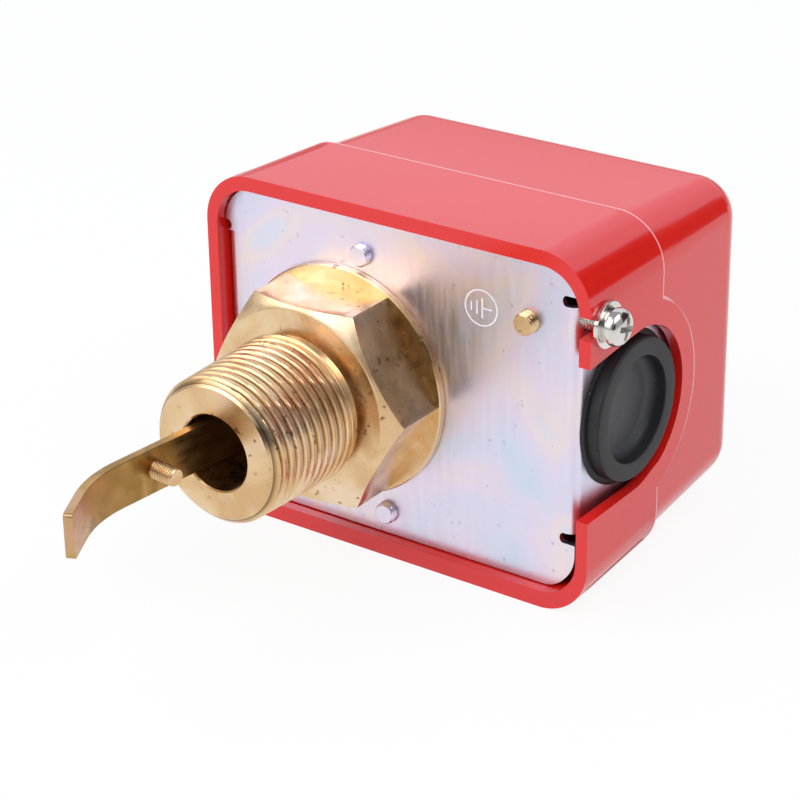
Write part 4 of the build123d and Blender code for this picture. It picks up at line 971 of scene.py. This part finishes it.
def rangeSpring():
    # compression spring, its end turns closed and ground flat
    p = {"radius": 3.1 * mm, "wire": 0.9 * mm, "turns": 6.5, "closed": 0.9, "closedRise": 0.35, "sides": 12,
         "steps": 40}
    low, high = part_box("range_spring")
    centre = (low + high) / 2
    rows, run = int(p["turns"] * p["steps"]), high.x - low.x - p["wire"]
    rise = [0.0]
    for k in range(1, rows + 1):
        turn = p["turns"] * k / rows
        # the closed end turns rise more slowly
        openShare = min(min(turn, p["turns"] - turn) / p["closed"], 1.0)
        rise.append(rise[-1] + p["closedRise"] + (1 - p["closedRise"]) * openShare)
    points = []
    for k in range(rows + 1):
        turn = 2 * math.pi * p["turns"] * k / rows
        out = Vector((0, math.cos(turn), math.sin(turn)))
        x = low.x + p["wire"] / 2 + run * rise[k] / rise[-1]
        for i in range(p["sides"]):
            a = 2 * math.pi * i / p["sides"]
            spot = Vector((x, centre.y, centre.z)) + out * (p["radius"] + p["wire"] / 2 * math.cos(a))
            spot.x += p["wire"] / 2 * math.sin(a)
            points.append(spot)
    mesh = newMesh("range_spring_coiled", points, bands(rows + 1, p["sides"]))
    spring = newPiece("range_spring_coiled", mesh, "bright_steel", 50)
    place(spring, None, "bright_steel", "range_spring")
    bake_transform(spring)


rangeSpring()
print("seals and springs made")


def earthMark():
    # the earth sign beside the earth screw, burnt pale and thin into the plating
    p = {"centre": (35.85 * mm, 25.0 * mm), "radius": 3.96 * mm, "line": 0.33 * mm, "lift": 0.02 * mm,
         "bars": ((0.25 * mm, 2.2 * mm), (-1.05 * mm, 1.55 * mm), (-2.45 * mm, 1.0 * mm)),
         "stem": (0.4 * mm, 2.7 * mm)}
    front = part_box("base_plate")[0].y
    x, z = p["centre"]
    half, lift = p["line"] / 2, p["lift"]
    ring = latheMesh("earthRing", [
        (0, p["radius"] - half), (-lift, p["radius"] - half * 0.8), (-lift, p["radius"] + half * 0.8),
        (0, p["radius"] + half)], (x, front, z), (0, 1, 0), 96, True)
    built = bmesh.new()
    built.from_mesh(ring)
    strips = [(x + at - half, x + at + half, z - tall, z + tall) for at, tall in p["bars"]]
    strips.append((x + p["stem"][0], x + p["stem"][1], z - half, z + half))
    for left, right, bottom, top in strips:
        box = bmesh.ops.create_cube(built, size=1.0)["verts"]
        for vert in box:
            vert.co = Vector((left + (vert.co.x + 0.5) * (right - left), front - lift * (vert.co.y + 0.5),
                              bottom + (vert.co.z + 0.5) * (top - bottom)))
    mesh = bpy.data.meshes.new("earth_mark")
    built.to_mesh(mesh)
    built.free()
    mark = newPiece("earth_mark", outward(mesh), None, 30)
    mesh.materials.clear()
    mesh.materials.append(paleMark())
    place(mark, "housing", "zinc_plated_steel")


earthMark()


for node, obj in frame["nodes"].items():
    obj.data.materials.clear()
    obj.data.materials.append(finishes[slotOf[node]])


view = {
    "place": (0.30998, -0.37501, 0.23652), "azimuth": 35.98, "elevation": 25.36, "roll": -0.89, "lens": 115.9,
}
cameraData = bpy.data.cameras.new("camera")
cameraData.lens = view["lens"]
cameraData.clip_start = 0.05
camera = newObject("camera", cameraData)
aim = Matrix.Rotation(math.radians(view["azimuth"]), 4, "Z") @ Matrix.Rotation(
    math.radians(90 - view["elevation"]), 4, "X") @ Matrix.Rotation(math.radians(view["roll"]), 4, "Z")
camera.matrix_world = Matrix.Translation(view["place"]) @ aim
bpy.context.scene.camera = camera


middle = (Vector(cadBox[0]) + Vector(cadBox[1])) / 2


def direction(azimuth, elevation):
    # azimuth 0 is along +Y, positive towards +X
    a, e = math.radians(azimuth), math.radians(elevation)
    return Vector((math.sin(a) * math.cos(e), math.cos(a) * math.cos(e), math.sin(e)))


def softbox(name, azimuth, elevation, width, height, brightness, colour):
    # brightness is what a mirror would show of it, 1 being white
    away = 1.0
    data = bpy.data.lights.new(name, "AREA")
    data.shape = "RECTANGLE"
    data.size, data.size_y = width, height
    data.energy = brightness * math.pi * width * height
    data.color = linear(colour)[:3]
    way = direction(azimuth, elevation)
    newObject(name, data).matrix_world = aimedAt(middle + way * away, way)


def darkCard(name, azimuth, elevation, away, width, height, shade):
    # a dark panel that only shows in reflections, as the unlit side of a studio does
    data = bpy.data.meshes.new(name)
    corners = ((-1, -1), (1, -1), (1, 1), (-1, 1))
    data.from_pydata([(x * width / 2, y * height / 2, 0) for x, y in corners], [], [(0, 1, 2, 3)])
    way = direction(azimuth, elevation)
    data.transform(aimedAt(middle + way * away, way))
    material = bpy.data.materials.new(name)
    material.use_nodes = True
    tree = material.node_tree
    glow = addNode(tree, "ShaderNodeEmission", {"Color": linear(shade), "Strength": 1.0})
    tree.links.new(glow.outputs[0], tree.nodes["Material Output"].inputs["Surface"])
    data.materials.append(material)
    obj = newObject(name, data)
    obj.visible_camera = obj.visible_diffuse = obj.visible_shadow = obj.visible_transmission = False


softboxes = {
    "backSoftbox": {"azimuth": -18, "elevation": 38, "width": 1.5, "height": 0.9, "brightness": 0.66,
                    "colour": "#EDF2FF"},
    "leftFrontSoftbox": {"azimuth": -146, "elevation": 38, "width": 1.1, "height": 0.9, "brightness": 2.1,
                         "colour": "#FFFFFF"},
    "rightSoftbox": {"azimuth": 105, "elevation": 56, "width": 0.8, "height": 0.6, "brightness": 2.4,
                     "colour": "#FFFFFF"},
}
darkCards = {
    "rightBackCard": {"azimuth": 43, "elevation": 21, "away": 1.1, "width": 0.85, "height": 0.95,
                      "shade": "#3A332C"},
    "rightFrontCard": {"azimuth": 139, "elevation": 16, "away": 1.2, "width": 0.8, "height": 0.7,
                       "shade": "#2E2823"},
}
for name, given in softboxes.items():
    softbox(name, **given)
for name, given in darkCards.items():
    darkCard(name, **given)


def whiteFloor():
    # seamless white paper: bright to the camera and in reflections, and it keeps a soft shadow
    material, tree, shader, where = newFinish("whitePaper", Roughness=0.9)
    shader.inputs["Base Color"].default_value = linear("#F4F4F4")
    path = addNode(tree, "ShaderNodeLightPath")
    seen = maths(tree, "MAXIMUM", path.outputs["Is Camera Ray"], maths(
        tree, "MAXIMUM", path.outputs["Is Glossy Ray"], path.outputs["Is Transmission Ray"]))
    seen = maths(tree, "MULTIPLY", seen, 0.9)  # the rest is paper that takes the shadow
    glow = addNode(tree, "ShaderNodeEmission", {"Color": linear("#FFFFFF"), "Strength": 1.0})
    mixed = addNode(tree, "ShaderNodeMixShader", {0: seen, 1: shader.outputs[0], 2: glow.outputs[0]})
    tree.links.new(mixed.outputs[0], tree.nodes["Material Output"].inputs["Surface"])
    return material


floorMesh = bpy.data.meshes.new("floor")
reach, standsOn = 3.0, cadBox[0][2]
corners = ((-reach, -reach), (reach, -reach), (reach, reach), (-reach, reach))
floorMesh.from_pydata([(x, y, standsOn) for x, y in corners], [], [(0, 1, 2, 3)])
floorMesh.materials.append(whiteFloor())
newObject("floor", floorMesh)

world = bpy.data.worlds.new("studio")
world.use_nodes = True
bpy.context.scene.world = world
sky = world.node_tree
path = addNode(sky, "ShaderNodeLightPath")
seen = maths(sky, "MAXIMUM", path.outputs["Is Camera Ray"], path.outputs["Is Transmission Ray"])
fill = addNode(sky, "ShaderNodeBackground", {"Color": linear("#F6F8FF"), "Strength": 0.5})
white = addNode(sky, "ShaderNodeBackground", {"Color": linear("#FFFFFF"), "Strength": 1.0})
both = addNode(sky, "ShaderNodeMixShader", {0: seen, 1: fill.outputs[0], 2: white.outputs[0]})
sky.links.new(both.outputs[0], sky.nodes["World Output"].inputs["Surface"])

bpy.context.scene.view_settings.view_transform = "Standard"
print("scene ready")
